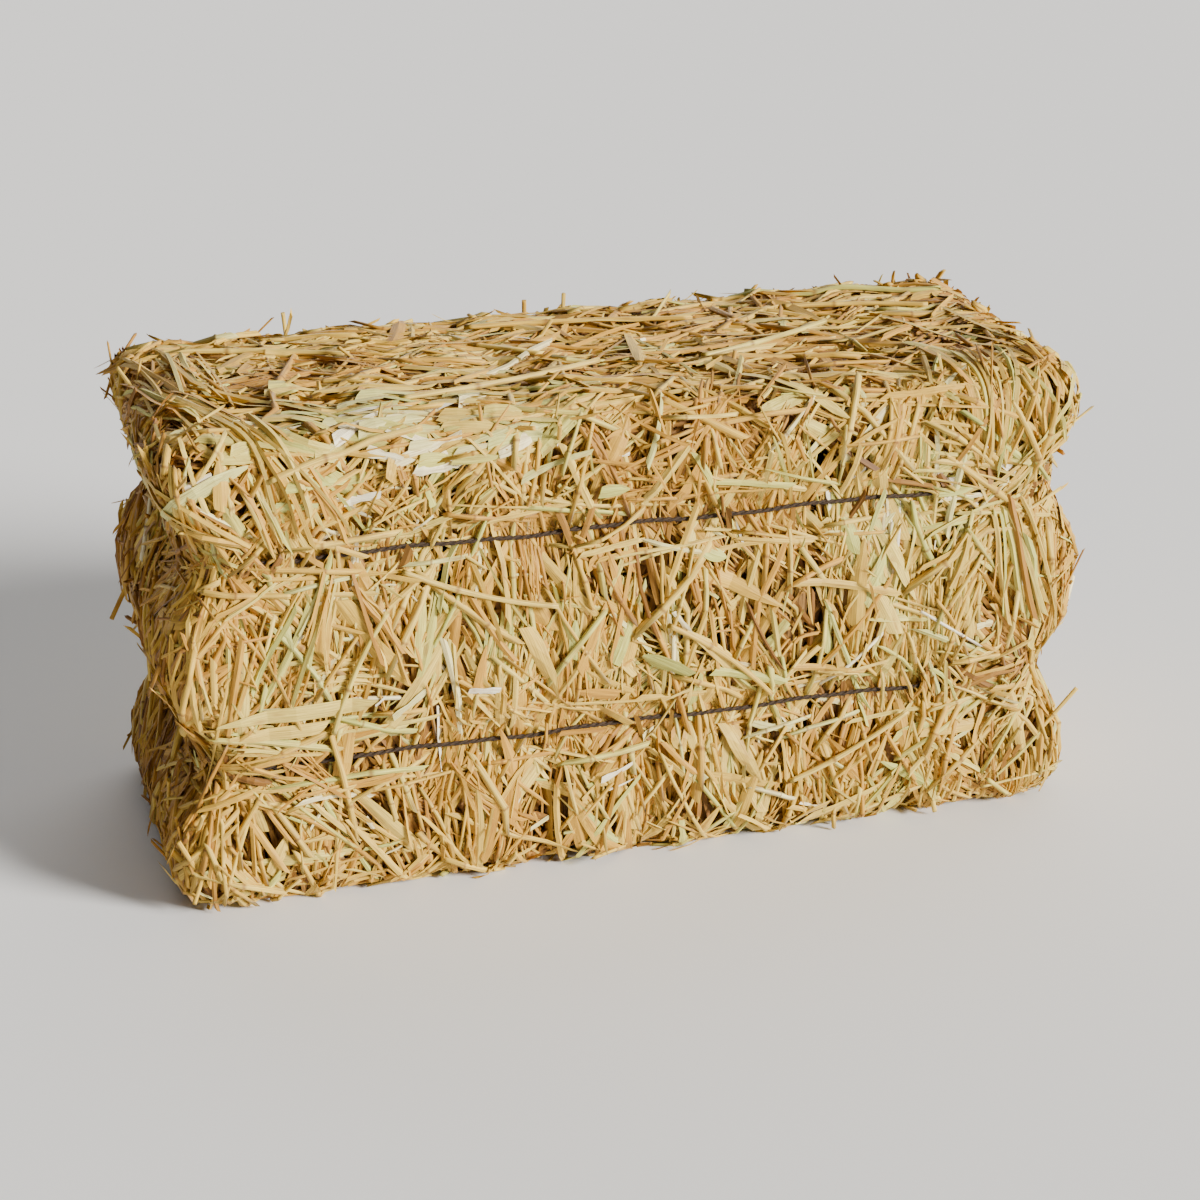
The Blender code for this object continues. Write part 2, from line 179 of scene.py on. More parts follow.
# How far from the bale's middle the back of a loop is straight, and how deep its knot is
STRAIGHT_FROM, STRAIGHT_TO, KNOT_DEPTH = 0.2, 0.35, 0.004


def measure_loop(node):
    """Where the middle line of a loop of twine runs: its level, its four sides, and its knot."""
    points = np.array([v.co[:] for v in node.data.vertices])
    low, high = points.min(axis=0), points.max(axis=0)
    x, y = np.abs(points[:, 0]), points[:, 1]
    straight_back = points[(y > 0) & (x > STRAIGHT_FROM) & (x < STRAIGHT_TO)]
    return {
        "level": float(np.median(points[:, 2])),
        "left": low[0] + TWINE_RADIUS,
        "right": high[0] - TWINE_RADIUS,
        "front": low[1] + TWINE_RADIUS,
        "back": straight_back[:, 1].max() - TWINE_RADIUS,
        "knot": float(points[y > high[1] - KNOT_DEPTH][:, 0].mean()),
    }


loops = {name: measure_loop(nodes[name]) for name in ("twine_lower", "twine_upper")}
for name, loop in loops.items():
    print(name, {key: round(float(value), 4) for key, value in loop.items()})


def outside_loop(points, loop):
    """(distance, outward direction) of points from a loop's plan, where inside is negative."""
    middle = np.array([(loop["left"] + loop["right"]) / 2, (loop["front"] + loop["back"]) / 2])
    half = np.array([(loop["right"] - loop["left"]) / 2, (loop["back"] - loop["front"]) / 2])
    place = points[..., :2] - middle
    beyond = np.abs(place) - (half - TWINE_CORNER)
    corner = np.maximum(beyond, 0)
    length = np.linalg.norm(corner, axis=-1)
    distance = length + np.minimum(beyond.max(axis=-1), 0) - TWINE_CORNER
    flat = np.where(beyond[..., :1] > beyond[..., 1:], [1.0, 0.0], [0.0, 1.0])
    way = np.where(length[..., None] > 1e-9, corner / np.maximum(length, 1e-9)[..., None], flat)
    return distance, way * np.sign(place)


# %% [markdown]
# ## Cracks between the flakes
#
# Flakes part a little where they meet, and those dark cracks show that the bale is made of slices. The solids
# give the straight seams. On the front some cracks wander off them. Few stalks lie in a crack, and those that
# do lie deep, with their tone darkened as painted shade.

# %% Cracks
# How far each seam gapes, from 0 to 1, and half the width of a seam that gapes fully
SEAM_OPENINGS, SEAM_HALF = (0.5, 0.2, 0.6, 0.3, 0.8, 0.4, 0.5, 0.2, 0.5), 0.006
SEAM_HEIGHT = 0.45
# On the front: the two ends of each crack as X and Z, and half its width, all in millimetres
CRACKS = (
    ((-9, 338), (-3, 292), 8),
    ((-3, 292), (10, 245), 7),
    ((95, 297), (107, 230), 7),
    ((107, 230), (148, 180), 6),
    ((154, 267), (208, 195), 8),
    ((208, 195), (262, 205), 7),
    ((-401, 326), (-330, 331), 8),
)


def seam_line(flake):
    """(x at the floor, x at the top) of the side where a flake meets the next one."""
    points = np.array([v.co[:] for v in flake.data.vertices])
    return points[points[:, 2] < 0.03, 0].max(), points[points[:, 2] > 0.42, 0].max()


seams = [seam_line(flake) for flake in flakes[:-1]]
print("seams at x:", [[round(float(x), 3) for x in seam] for seam in seams])


def crack_depth(points):
    """For each point, from 0 on the outside of a flake to 1 in the middle of a crack."""
    x, y, z = points.T
    deepest = np.zeros(len(points))
    for number, ((low, high), opening) in enumerate(zip(seams, SEAM_OPENINGS)):
        wander = 0.005 * np.sin(38 * z + 2 * number) + 0.003 * np.sin(52 * y + number)
        away = x - (low + (high - low) * z / SEAM_HEIGHT + wander)
        uneven = 0.65 + 0.35 * np.sin(19 * z + 4 * number)
        deepest = np.maximum(deepest, opening * np.exp(-((away / SEAM_HALF) ** 2)) * uneven)
    for first, last, half in CRACKS:
        first, last, half = np.array(first) / 1000, np.array(last) / 1000, half / 1000
        place, run = points[:, [0, 2]] - first, last - first
        share = np.clip(place @ run / (run @ run), 0, 1)
        away = np.linalg.norm(place - share[:, None] * run, axis=1)
        deepest = np.maximum(deepest, np.exp(-((away / half) ** 2)) * (y < -0.1))
    return deepest


# %% [markdown]
# ## Which way the straw lies
#
# The plunger packs the stalks across the bale, so on the sides and ends most stand upright. Along the
# top they lie lengthwise, where they were folded over. Round each corner the twine gathers them like
# a sheaf, so near those points they turn towards the twine. Tufts share a direction, a colour and a
# depth, and that is what keeps straw from looking like noise. A hair system could scatter stalks too,
# but it knows nothing of twine, cracks and corners. Here stalks are rows in tables of numbers, and
# each rule about straw is one column.

# %% Directions and tufts
FLOOR_CLEARANCE = 0.0006
GATHER_INSET, GATHER_REACH, LOW_EDGE = 0.012, 0.15, 0.028
LENGTHWISE = np.array([1.0, 0.0, 0.0])
UPRIGHT = np.array([0.0, 0.0, 1.0])
ACROSS = np.array([0.0, 1.0, 0.0])


def unit(v):
    """Vectors of length one."""
    return v / np.maximum(np.linalg.norm(v, axis=-1, keepdims=True), 1e-9)


def turned(way, axis, angle):
    """Vectors turned about their axes by angles in radians."""
    c, s = np.cos(angle)[..., None], np.sin(angle)[..., None]
    return way * c + np.cross(axis, way) * s + axis * (way * axis).sum(-1, keepdims=True) * (1 - c)


gathers = []
for loop in loops.values():
    for x in (loop["left"] + GATHER_INSET, loop["right"] - GATHER_INSET):
        for y in (loop["front"] + GATHER_INSET, loop["back"] - GATHER_INSET):
            gathers.append((x, y, loop["level"]))
gathers = np.array(gathers)


def scatter(count, weights):
    """(points, normals) at random on the skin, more where the weights are larger."""
    chosen = rng.choice(len(weights), count, p=weights / weights.sum())
    a, b = rng.random((2, count, 1))
    fold = (a + b) > 1
    a, b = np.where(fold, 1 - a, a), np.where(fold, 1 - b, b)
    corners = skin_corners[chosen]
    points = corners[:, 0] + a * (corners[:, 1] - corners[:, 0]) + b * (corners[:, 2] - corners[:, 0])
    return points, skin_normals[chosen]


def lie(points, normals):
    """The usual direction of the straw at each point."""
    top = np.clip((normals[:, 2:] - 0.35) / 0.3, 0, 1)
    under = np.clip((-normals[:, 2:] - 0.35) / 0.3, 0, 1)
    guide = UPRIGHT * (1 - top - under) + LENGTHWISE * top + ACROSS * under
    low_edge = np.clip(1 - points[:, 2:] / LOW_EDGE, 0, 1) * (1 - under)
    guide = guide * (1 - 0.7 * low_edge) + LENGTHWISE * low_edge
    to_gather = gathers[None] - points[:, None]
    distance = np.linalg.norm(to_gather, axis=-1)
    nearest = distance.argmin(axis=1)
    rows = np.arange(len(points))
    pull = np.clip(1 - distance[rows, nearest] / GATHER_REACH, 0, 1)[:, None] ** 0.7
    way = unit(to_gather[rows, nearest])
    way = way * np.where((way * guide).sum(-1, keepdims=True) < 0, -1, 1)
    guide = guide * (1 - pull) + way * pull
    return unit(guide - normals * (guide * normals).sum(-1, keepdims=True))


def patches(points, size, seed):
    """Slow random change over the bale, from about -1 to 1."""
    shift = Vector((seed, 3.7 * seed, -seed))
    return np.array([noise.noise(Vector(p) / size + shift) for p in points]) * 1.6


def batch(points, normals, ways, kinked=0.0, **columns):
    """A table of stalks. Each column is one number per stalk, or one for all of them. kinked is the share
    that the baler broke, which turn off at a sharp bend. arch moves the middle of a path off its chord."""
    count = len(points)
    made = {"middle": points, "normal": normals, "way": ways, "kink_at": rng.uniform(-0.25, 0.25, count)}
    made["kink"] = np.where(rng.random(count) < kinked, rng.normal(0, 0.55, count), 0)
    made["arch"] = np.zeros((count, 3))
    for name, column in columns.items():
        made[name] = np.broadcast_to(np.asarray(column, float), (count,)).copy()
    return made


# How much deeper straw lies in a crack, and how much its tone is darkened as painted shade in a crack, on the
# top and at the left end
CRACK_DROP, CRACK_PAINTED_SHADE, TOP_PAINTED_SHADE, END_PAINTED_SHADE = 0.0065, 0.14, 0.10, 0.20
face_weights = skin_areas * np.where(skin_normals[:, 2] < -0.6, 0.45, 1.0)
face_weights = face_weights * (1 - 0.7 * crack_depth(skin_centres))


def left_end_painted_shade(points):
    """How much darker the straw's tone is painted at the left end, as painted shade."""
    return END_PAINTED_SHADE * np.clip((-points[:, 0] - 0.395) / 0.05, 0, 1)


def single_stalks(count, spread, offset, length, width, tone, tone_spread, weights=face_weights):
    """Stalks that each go their own way. spread is in degrees. offset, length and width are ranges in
    metres, and offset is the depth, negative under the skin."""
    points, normals = scatter(count, weights)
    ways = turned(lie(points, normals), normals, rng.normal(0, math.radians(spread), count))
    crack = crack_depth(points)
    tones = tone + rng.normal(0, tone_spread, count) + 0.10 * patches(points, 0.10, 5.0)
    # Painted shade: the top is painted darker.
    tones = tones - TOP_PAINTED_SHADE * np.clip(normals[:, 2], 0, 1)
    return batch(
        points,
        normals,
        ways,
        kinked=0.14,
        offset=rng.uniform(*offset, count) - CRACK_DROP * crack,
        tilt=rng.normal(0, 0.02, count),
        lift=0.0,
        length=rng.uniform(*length, count),
        width=rng.uniform(*width, count),
        bow=rng.normal(0, 0.04, count),
        # Painted shade: darker tone in cracks and at the left end.
        tone=np.maximum(tones, 0.6 * tone) - CRACK_PAINTED_SHADE * crack - left_end_painted_shade(points),
        follow=rng.uniform(0.75, 1.0, count),
    )


def tufts(count, each):
    """Tufts of stalks that nearly share their direction, depth, length and colour. each is the range of
    how many a tuft has."""
    centres, normals = scatter(count, face_weights)
    swing = np.where(rng.random(count) < 0.24, 60, 21)
    ways = turned(lie(centres, normals), normals, rng.normal(0, 1, count) * np.radians(swing))
    on_top = np.clip(normals[:, 2], 0, 1)
    owner = np.repeat(np.arange(count), rng.integers(*each, count))
    total = len(owner)
    side = np.cross(normals, ways)
    radius = rng.uniform(0.012, 0.032, count)[owner, None]
    along = ways[owner] * rng.normal(0, 0.9, (total, 1)) * radius
    points = centres[owner] + along + side[owner] * rng.normal(0, 0.55, (total, 1)) * radius
    own_way = turned(ways[owner], normals[owner], rng.normal(0, math.radians(7), total))
    # Painted shade: the top is painted darker.
    tone = 0.50 - TOP_PAINTED_SHADE * on_top + 0.11 * rng.normal(0, 1, count) + 0.19 * patches(centres, 0.09, 5.0)
    tones = np.maximum(tone[owner] + rng.normal(0, 0.09, total), 0.22)
    crack = crack_depth(points)
    depths = rng.uniform(-0.0055, 0.0012, count)[owner] + rng.uniform(-0.001, 0.002, total)
    return batch(
        points,
        normals[owner],
        own_way,
        kinked=0.10,
        offset=depths - CRACK_DROP * crack,
        tilt=rng.normal(0, 0.030, count)[owner] + rng.normal(0, 0.012, total),
        lift=0.0,
        length=rng.uniform(0.050, 0.120, count)[owner] * rng.uniform(0.55, 1.15, total),
        width=(rng.uniform(0.0026, 0.0062, count) * (1 - 0.2 * on_top))[owner] * rng.uniform(0.7, 1.3, total),
        bow=rng.normal(0, 0.05, count)[owner] + rng.normal(0, 0.025, total),
        # Painted shade: darker tone in cracks and at the left end.
        tone=tones - CRACK_PAINTED_SHADE * crack - left_end_painted_shade(points),
        follow=rng.uniform(0.85, 1.0, total),
    )


share = 1.0
# The deep stalks get a low, dark tone: painted shade in the gaps between the stalks above.
deep = single_stalks(int(5000 * share), 30, (-0.0090, -0.0035), (0.06, 0.14), (0.005, 0.010), 0.22, 0.10)
middle = tufts(int(1040 * share), (8, 26))
upper = single_stalks(int(1550 * share), 34, (0.0005, 0.0042), (0.05, 0.15), (0.0038, 0.0082), 0.60, 0.14)
print("stalks:", {"deep": len(deep["tone"]), "tufts": len(middle["tone"]), "upper": len(upper["tone"])})

# %% [markdown]
# ## Stray ends, blades and chaff
#
# A bale is never neat. Stray stalks stick out of it, above all along its edges. Wide leaf blades, some
# still pale green, and papery white husks lie flat on it. Broken bits of chaff fill the spaces. At the
# front corners the twine draws long stalks in to tight bundles. All of these could be mixed into the
# tufts, but each has its own place, size and tone, so each gets a table of its own.

# %% The rest of the straw
edge_weights = face_weights * (1 + 5 * (np.abs(skin_normals).max(axis=1) < 0.93))
stray_sizes = (-0.001, 0.002), (0.05, 0.105), (0.0026, 0.0055)
stray = single_stalks(int(620 * share), 42, *stray_sizes, 0.52, 0.15, edge_weights)
stray["lift"] = rng.uniform(0.004, 0.015, len(stray["lift"])) * rng.choice([-1, 1], len(stray["lift"]))
stray["follow"] = rng.uniform(0.2, 0.8, len(stray["follow"]))
blades = single_stalks(int(720 * share), 34, (-0.0015, 0.0032), (0.045, 0.13), (0.008, 0.018), 0.58, 0.15)
husks = single_stalks(int(150 * share), 60, (0.001, 0.0042), (0.018, 0.050), (0.006, 0.015), 0.86, 0.07)
chaff = single_stalks(int(4200 * share), 90, (-0.002, 0.0036), (0.008, 0.030), (0.0018, 0.0048), 0.58, 0.20)


def lay_lengthwise(table, lean, spread):
    """Turns the stalks of a table to lie along the bale. lean and spread are in degrees."""
    flat = unit(LENGTHWISE - table["normal"] * table["normal"][:, :1])
    angles = rng.normal(math.radians(lean), math.radians(spread), len(flat))
    table["way"] = turned(flat, table["normal"], angles)


def papery_patch(count):
    """Broad pale husks, pressed together on the front top edge."""
    from_middle = (skin_centres - (-0.215, -0.140, 0.446)) / (0.105, 0.050, 0.030)
    weights = skin_areas * np.exp(-((from_middle**2).sum(axis=1)))
    table = single_stalks(count, 0, (0.0015, 0.0052), (0.030, 0.085), (0.008, 0.018), 0.84, 0.08, weights)
    table["tone"] = np.clip(table["tone"], 0.60, 0.95)
    table["kink"] = 0 * table["kink"]
    lay_lengthwise(table, -8, 17)
    return table


def toward_gathers(count):
    """Stalks drawn in to the places where the twine turns the bale's corners."""
    apart = np.linalg.norm(gathers[None] - skin_centres[:, None], axis=-1)
    weights = face_weights * np.exp(-(((apart.min(axis=1) - 0.075) / 0.035) ** 2))
    table = single_stalks(count, 0, (0.0005, 0.0045), (0.08, 0.17), (0.004, 0.008), 0.55, 0.14, weights)
    nearest = np.linalg.norm(gathers[None] - table["middle"][:, None], axis=-1).argmin(axis=1)
    way = unit(gathers[nearest] - table["middle"])
    table["way"] = turned(way, table["normal"], rng.normal(0, math.radians(9), count))
    return table


def beside_twine(count):
    """Stalks that lie lengthwise along the waists, where the twine drew them."""
    heights = skin_corners[:, :, 2].mean(axis=1)
    apart = np.min([np.abs(heights - loop["level"]) for loop in loops.values()], axis=0)
    weights = face_weights * (np.abs(skin_normals[:, 1]) > 0.7) * (apart > 0.008) * (apart < 0.034)
    table = single_stalks(count, 0, (0.001, 0.0045), (0.05, 0.13), (0.0035, 0.007), 0.62, 0.14, weights)
    lay_lengthwise(table, 0, 11)
    return table


# Each row: how many, the line that they start from and the line that they run to, in millimetres
SHEAVES = (
    (16, (-432, 120, 452), (-375, 110, 458), (-412, -60, 455), (-345, -90, 455)),
    (38, (-438, 60, 446), (-405, -60, 455), (-350, -166, 346), (-318, -166, 350)),
    (22, (-405, -60, 455), (-345, -125, 456), (-318, -166, 350), (-262, -163, 353)),
    (30, (-446, 20, 425), (-440, -100, 410), (-372, -163, 340), (-340, -166, 344)),
    (18, (-318, -168, 336), (-272, -170, 336), (-412, -172, 300), (-205, -177, 215)),
    (14, (-425, -150, 118), (-415, -173, 196), (-330, -171, 150), (-285, -170, 160)),
    (20, (295, -60, 456), (418, -120, 440), (328, -165, 348), (376, -167, 346)),
    (16, (372, -166, 332), (335, -166, 330), (426, -168, 190), (270, -172, 232)),
    (12, (405, -170, 190), (395, -172, 95), (330, -168, 140), (300, -168, 148)),
)


def drawn_in(count, first_a, first_b, last_a, last_b):
    """Stalks that run together, from places on one line to places on the other."""
    order, ends = rng.random((count, 1)), []
    for a, b in np.array([[first_a, first_b], [last_a, last_b]]):
        place = np.clip(order + rng.normal(0, 0.09, (count, 1)), 0, 1)
        ends.append((a + (b - a) * place) / 1000)
    first, last = ends
    middle = (first + last) / 2 + rng.normal(0, 0.003, (count, 3))
    on_skin, facing = onto_skin(middle)
    table = batch(
        middle,
        facing,
        turned(unit(last - first), facing, rng.normal(0, math.radians(5), count)),
        kinked=0.08,
        offset=rng.uniform(0.0015, 0.0075, count),
        tilt=0.0,
        lift=0.0,
        length=np.linalg.norm(last - first, axis=1) * rng.uniform(0.50, 1.1, count),
        width=rng.uniform(0.0034, 0.0082, count),
        bow=rng.normal(0, 0.04, count),
        tone=np.clip(0.56 + rng.normal(0, 0.17, count), 0.22, 0.88),
        follow=0.95,
    )
    table["arch"] = on_skin - middle
    return table


def stacked(tables):
    """Several tables as one."""
    return {key: np.concatenate([table[key] for table in tables]) for key in tables[0]}


papery = papery_patch(int(95 * share))
corners_drawn = stacked([drawn_in(*row) for row in SHEAVES])
sheaf, ledge = toward_gathers(int(420 * share)), beside_twine(int(230 * share))
print("strays, blades, husks, papery, chaff, sheaves, corners, ledges:")
print([len(t["tone"]) for t in (stray, blades, husks, papery, chaff, sheaf, corners_drawn, ledge)])

# %% [markdown]
# ## Shapes of a stalk
#
# A wheat stalk is a thin hollow tube with a swollen joint every hand's width. The baler crushes most
# of them to flat ribbons with a ridge. A flat strip with a picture of straw would be cheap, but it
# vanishes when seen edge on and throws a wrong shadow. So each shape here is solid, one unit long and
# wide, and has only a few dozen faces, because it is repeated thousands of times.

# %% Make the shapes
YARN_SIDES, YARN_STEPS = 5, 44


def shape_arrays(bm, sides):
    """The corners and faces of a straight shape, with a map that runs once round it and once along it."""
    sizes, corners, places = [], [], []
    for face in bm.faces:
        centre = face.calc_center_median()
        cap = abs(face.normal.z) > 0.8
        first = math.floor(math.atan2(centre.x, centre.y) / (2 * math.pi) * sides + 1e-6) % sides
        sizes.append(len(face.verts))
        for v in face.verts:
            beyond = (math.atan2(v.co.x, v.co.y) / (2 * math.pi) * sides - first) % sides
            around = first + (1 if 0.5 < beyond < 1.5 else 0)
            corners.append(v.index)
            places.append((0.5 if cap else around / sides, v.co.z))
    co = np.array([v.co[:] for v in bm.verts])
    return {"co": co, "sizes": np.array(sizes), "corners": np.array(corners), "uv": np.array(places)}


def stalk_shape(sides, rings, belly=1.0, joint=None, width_at=None, hollow=False, smooth=False):
    """A straight stalk: X across, Y its thickness, Z from 0 to 1 along it.
    belly flattens its underside, or folds it up under the ridge where it is negative. joint is where it
    swells, width_at gives its width along Z, and smooth rounds its shading."""
    bm = bmesh.new()
    bmesh.ops.create_cone(bm, cap_ends=True, segments=sides, radius1=1.0, radius2=1.0, depth=1.0)
    bmesh.ops.translate(bm, vec=(0, 0, 0.5), verts=bm.verts)
    cuts = [i / rings for i in range(1, rings)]
    if joint:
        cuts = [c for c in cuts if abs(c - joint) > 0.05] + [joint - 0.03, joint, joint + 0.03]
    for cut in sorted(cuts):
        geometry = bm.verts[:] + bm.edges[:] + bm.faces[:]
        bmesh.ops.bisect_plane(bm, geom=geometry, plane_co=(0, 0, cut), plane_no=(0, 0, 1))
    if hollow:
        caps = [f for f in bm.faces if abs(f.normal.z) > 0.9]
        bmesh.ops.inset_individual(bm, faces=caps, thickness=0.28)
        for cap in caps:
            inwards = 0.02 if cap.calc_center_median().z < 0.5 else -0.02
            bmesh.ops.translate(bm, vec=(0, 0, inwards), verts=cap.verts)
    bm.normal_update()
    shape = shape_arrays(bm, sides)
    bm.free()
    co = shape["co"]
    near_joint = np.exp(-(((co[:, 2] - (joint or 9)) / 0.02) ** 2))
    swell = 1 + 0.35 * near_joint
    if width_at:
        swell = swell * np.array([width_at(z) for z in co[:, 2]])
    co[:, 0] *= swell
    co[:, 1] = np.where(co[:, 1] < 0, co[:, 1] * belly, co[:, 1]) * swell
    if not hollow:
        co[:, 2] += np.where(co[:, 2] < 0.01, 0.06 * (1 + co[:, 0]), 0)
        co[:, 2] -= np.where(co[:, 2] > 0.99, 0.05 * (1 - co[:, 0]), 0)
    shape["joint"], shape["smooth"] = near_joint, smooth
    return shape


def blade_width(z):
    """A leaf blade: even for most of its length, then narrowing to a torn tip."""
    return (0.86 + 0.14 * math.sin(5 * z)) * (1 - 0.8 * max(0.0, z - 0.72) / 0.28)


def husk_width(z):
    """A torn strip of husk, uneven along its length."""
    return 0.85 - 0.35 * z + 0.16 * math.sin(9 * z)


SHAPES = {
    "flat": stalk_shape(3, 4, belly=0.3),
    "round": stalk_shape(4, 3, joint=0.34, smooth=True),
    "fine": stalk_shape(3, 4),
    "long": stalk_shape(3, 11, belly=0.4),
    "blade": stalk_shape(4, 6, belly=-0.45, width_at=blade_width),
    "husk": stalk_shape(4, 4, belly=-0.3, width_at=husk_width),
    "bit": stalk_shape(3, 2, belly=0.5),
    "coarse": stalk_shape(10, 18, joint=0.36, hollow=True, smooth=True),
    "yarn": stalk_shape(YARN_SIDES, YARN_STEPS, smooth=True),
    "hair": stalk_shape(3, 3, smooth=True),
}
# For each kind, its thickness for its width, and how far it rolls about its own line, in radians
FORM = {
    "flat": (0.34, 0.42),
    "round": (0.8, 0.9),
    "fine": (0.7, 0.9),
    "long": (0.5, 0.5),
    "blade": (0.22, 0.28),
    "husk": (0.22, 0.3),
    "bit": (0.35, 0.6),
    "coarse": (1.0, 0.3),
}
for name, shape in SHAPES.items():
    print(name, "triangles:", int((shape["sizes"] - 2).sum()))

# %% [markdown]
# ## Bend each stalk to the bale
#
# A dry stalk is stiff, so it runs nearly straight, but pressure has bent it round the bale's edges.
# Curve objects could follow the skin, but thousands of them are slow. Here whole tables are bent at
# once. Each path has a few points on a chord. They are moved out or in, most of the way to the skin,
# and set at the stalk's own depth. Where a path meets a loop of twine it is pushed under it, or now
# and then over it.

# %% Paths
STEPS = np.linspace(-0.5, 0.5, 7)
# How far inside or outside a loop's plan a stalk passes the twine, and how far from the twine's level
# it does so fully and then less and less. Only what is near a loop's plan is moved.
UNDER, OVER = -0.0061, 0.0046
PASS_BAND, PASS_FADE, PASS_DEEPEST = 0.010, 0.013, -0.05
# The share of stalks that lie over the twine, in the middle of the bale and beyond ENDS
OVER_SHARE, OVER_AT_ENDS, ENDS = 0.018, 0.24, 0.28
PATH_LOW, PATH_HIGH = np.array(cad_box[0]) - 0.006, np.array(cad_box[1]) + 0.006


def pass_twine(points, over):
    """Moves path points near a loop of twine to its inside, or outside it for the stalks lying over it."""
    for loop in loops.values():
        distance, way = outside_loop(points, loop)
        near = np.clip(1 - (np.abs(points[..., 2] - loop["level"]) - PASS_BAND) / PASS_FADE, 0, 1)
        near = near * (distance > PASS_DEEPEST)
        goal = np.where(over[:, None], np.maximum(distance, OVER), np.minimum(distance, UNDER))
        push = (goal - distance) * near
        points[..., :2] += way * push[..., None]


def lay(table):
    """(points, normals) of every stalk's path, as arrays of stalks by steps by 3."""
    side = np.cross(table["normal"], table["way"])
    names = ("length", "bow", "kink", "kink_at", "follow")
    length, bow, kink, kink_at, blend = (table[name][:, None, None] for name in names)
    u = STEPS[None, :, None]
    chord = table["middle"][:, None] + table["way"][:, None] * u * length
    chord = chord + side[:, None] * (bow * length * (0.25 - u * u) * 2)
    chord = chord + side[:, None] * (kink * length * np.maximum(u - kink_at, 0))
    chord = chord + table["arch"][:, None] * (1 - 4 * u * u)
    ground, normals = (found.reshape(chord.shape) for found in onto_skin(chord.reshape(-1, 3)))
    end_lift = np.clip(np.sign(table["lift"])[:, None] * STEPS * 2, 0, 1) ** 1.5
    height = table["offset"][:, None] + table["tilt"][:, None] * STEPS * table["length"][:, None]
    height = height + np.abs(table["lift"])[:, None] * end_lift
    points = ground * blend + chord * (1 - blend) + normals * height[..., None]
    near_end = np.abs(table["middle"][:, 0]) > ENDS
    pass_twine(points, rng.random(len(points)) < np.where(near_end, OVER_AT_ENDS, OVER_SHARE))
    points = np.clip(points, PATH_LOW, PATH_HIGH)
    points[..., 2] = np.maximum(points[..., 2], FLOOR_CLEARANCE + 0.25 * table["width"][:, None])
    return points, normals


def spline_weights(places, count):
    """How much each of a path's points, and of its slopes, counts at each place from 0 to 1."""
    value, slope = np.zeros((2, len(places), count))
    for row, place in enumerate(places):
        first = min(int(place * (count - 1)), count - 2)
        f = place * (count - 1) - first
        shares = (-f**3 + 2 * f**2 - f, 3 * f**3 - 5 * f**2 + 2, -3 * f**3 + 4 * f**2 + f, f**3 - f**2)
        slopes = (-3 * f**2 + 4 * f - 1, 9 * f**2 - 10 * f, -9 * f**2 + 8 * f + 1, 3 * f**2 - 2 * f)
        for step, (a, b) in enumerate(zip(shares, slopes)):
            column = min(max(first - 1 + step, 0), count - 1)
            value[row, column] += a / 2
            slope[row, column] += b / 2
    return value, slope


def grow(points, normals, table, shape, thickness, roll_spread):
    """Corners of the shape bent along every path, as an array of stalks by corners by 3."""
    co = shape["co"]
    value, slope = spline_weights(co[:, 2], points.shape[1])
    line = np.einsum("vk,nkc->nvc", value, points)
    tangent = unit(np.einsum("vk,nkc->nvc", slope, points))
    normal = np.einsum("vk,nkc->nvc", value, normals)
    normal = unit(normal - tangent * (normal * tangent).sum(-1, keepdims=True))
    roll = rng.normal(0, roll_spread, (len(points), 1))
    roll = roll + rng.normal(0, 0.5, (len(points), 1)) * (co[:, 2] - 0.5)
    normal = turned(normal, tangent, roll)
    side = np.cross(normal, tangent)
    half = table["width"][:, None, None] / 2
    thin = np.maximum(half * thickness, np.minimum(half, 0.00035))
    return line + side * (co[:, 0, None] * half) + normal * (co[:, 1, None] * thin)


print("points on a path:", len(STEPS), " deepest under the twine in mm:", 1000 * UNDER)

# %% [markdown]
# ## Join them to one mesh per flake
#
# Thousands of objects would be slow to handle, so each flake's stalks become one mesh. Every corner
# keeps the stalk's tone, its depth in the bale and whether it is on a joint, for the material to read.
# In the map each stalk has a small cell of its own, so a picture painted through it has room for
# every stalk.

# %% Mesh building


def bent_stalks(table, kind):
    """The corners of every stalk of a table, made as one kind."""
    points, normals = lay(table)
    corners = grow(points, normals, table, SHAPES[kind], *FORM[kind])
    corners[..., 2] = np.maximum(corners[..., 2], FLOOR_CLEARANCE)
    return corners


def pieces_of(corners, table, kind):
    """One record per kind: corners by stalk, with the stalks' own numbers."""
    numbers = {key: table[key] for key in ("tone", "offset", "length", "width", "middle")}
    return {"shape": SHAPES[kind], "corners": corners, **numbers}


def only(record, mask):
    """The part of a record that the mask picks."""
    return {key: (value if key == "shape" else value[mask]) for key, value in record.items()}


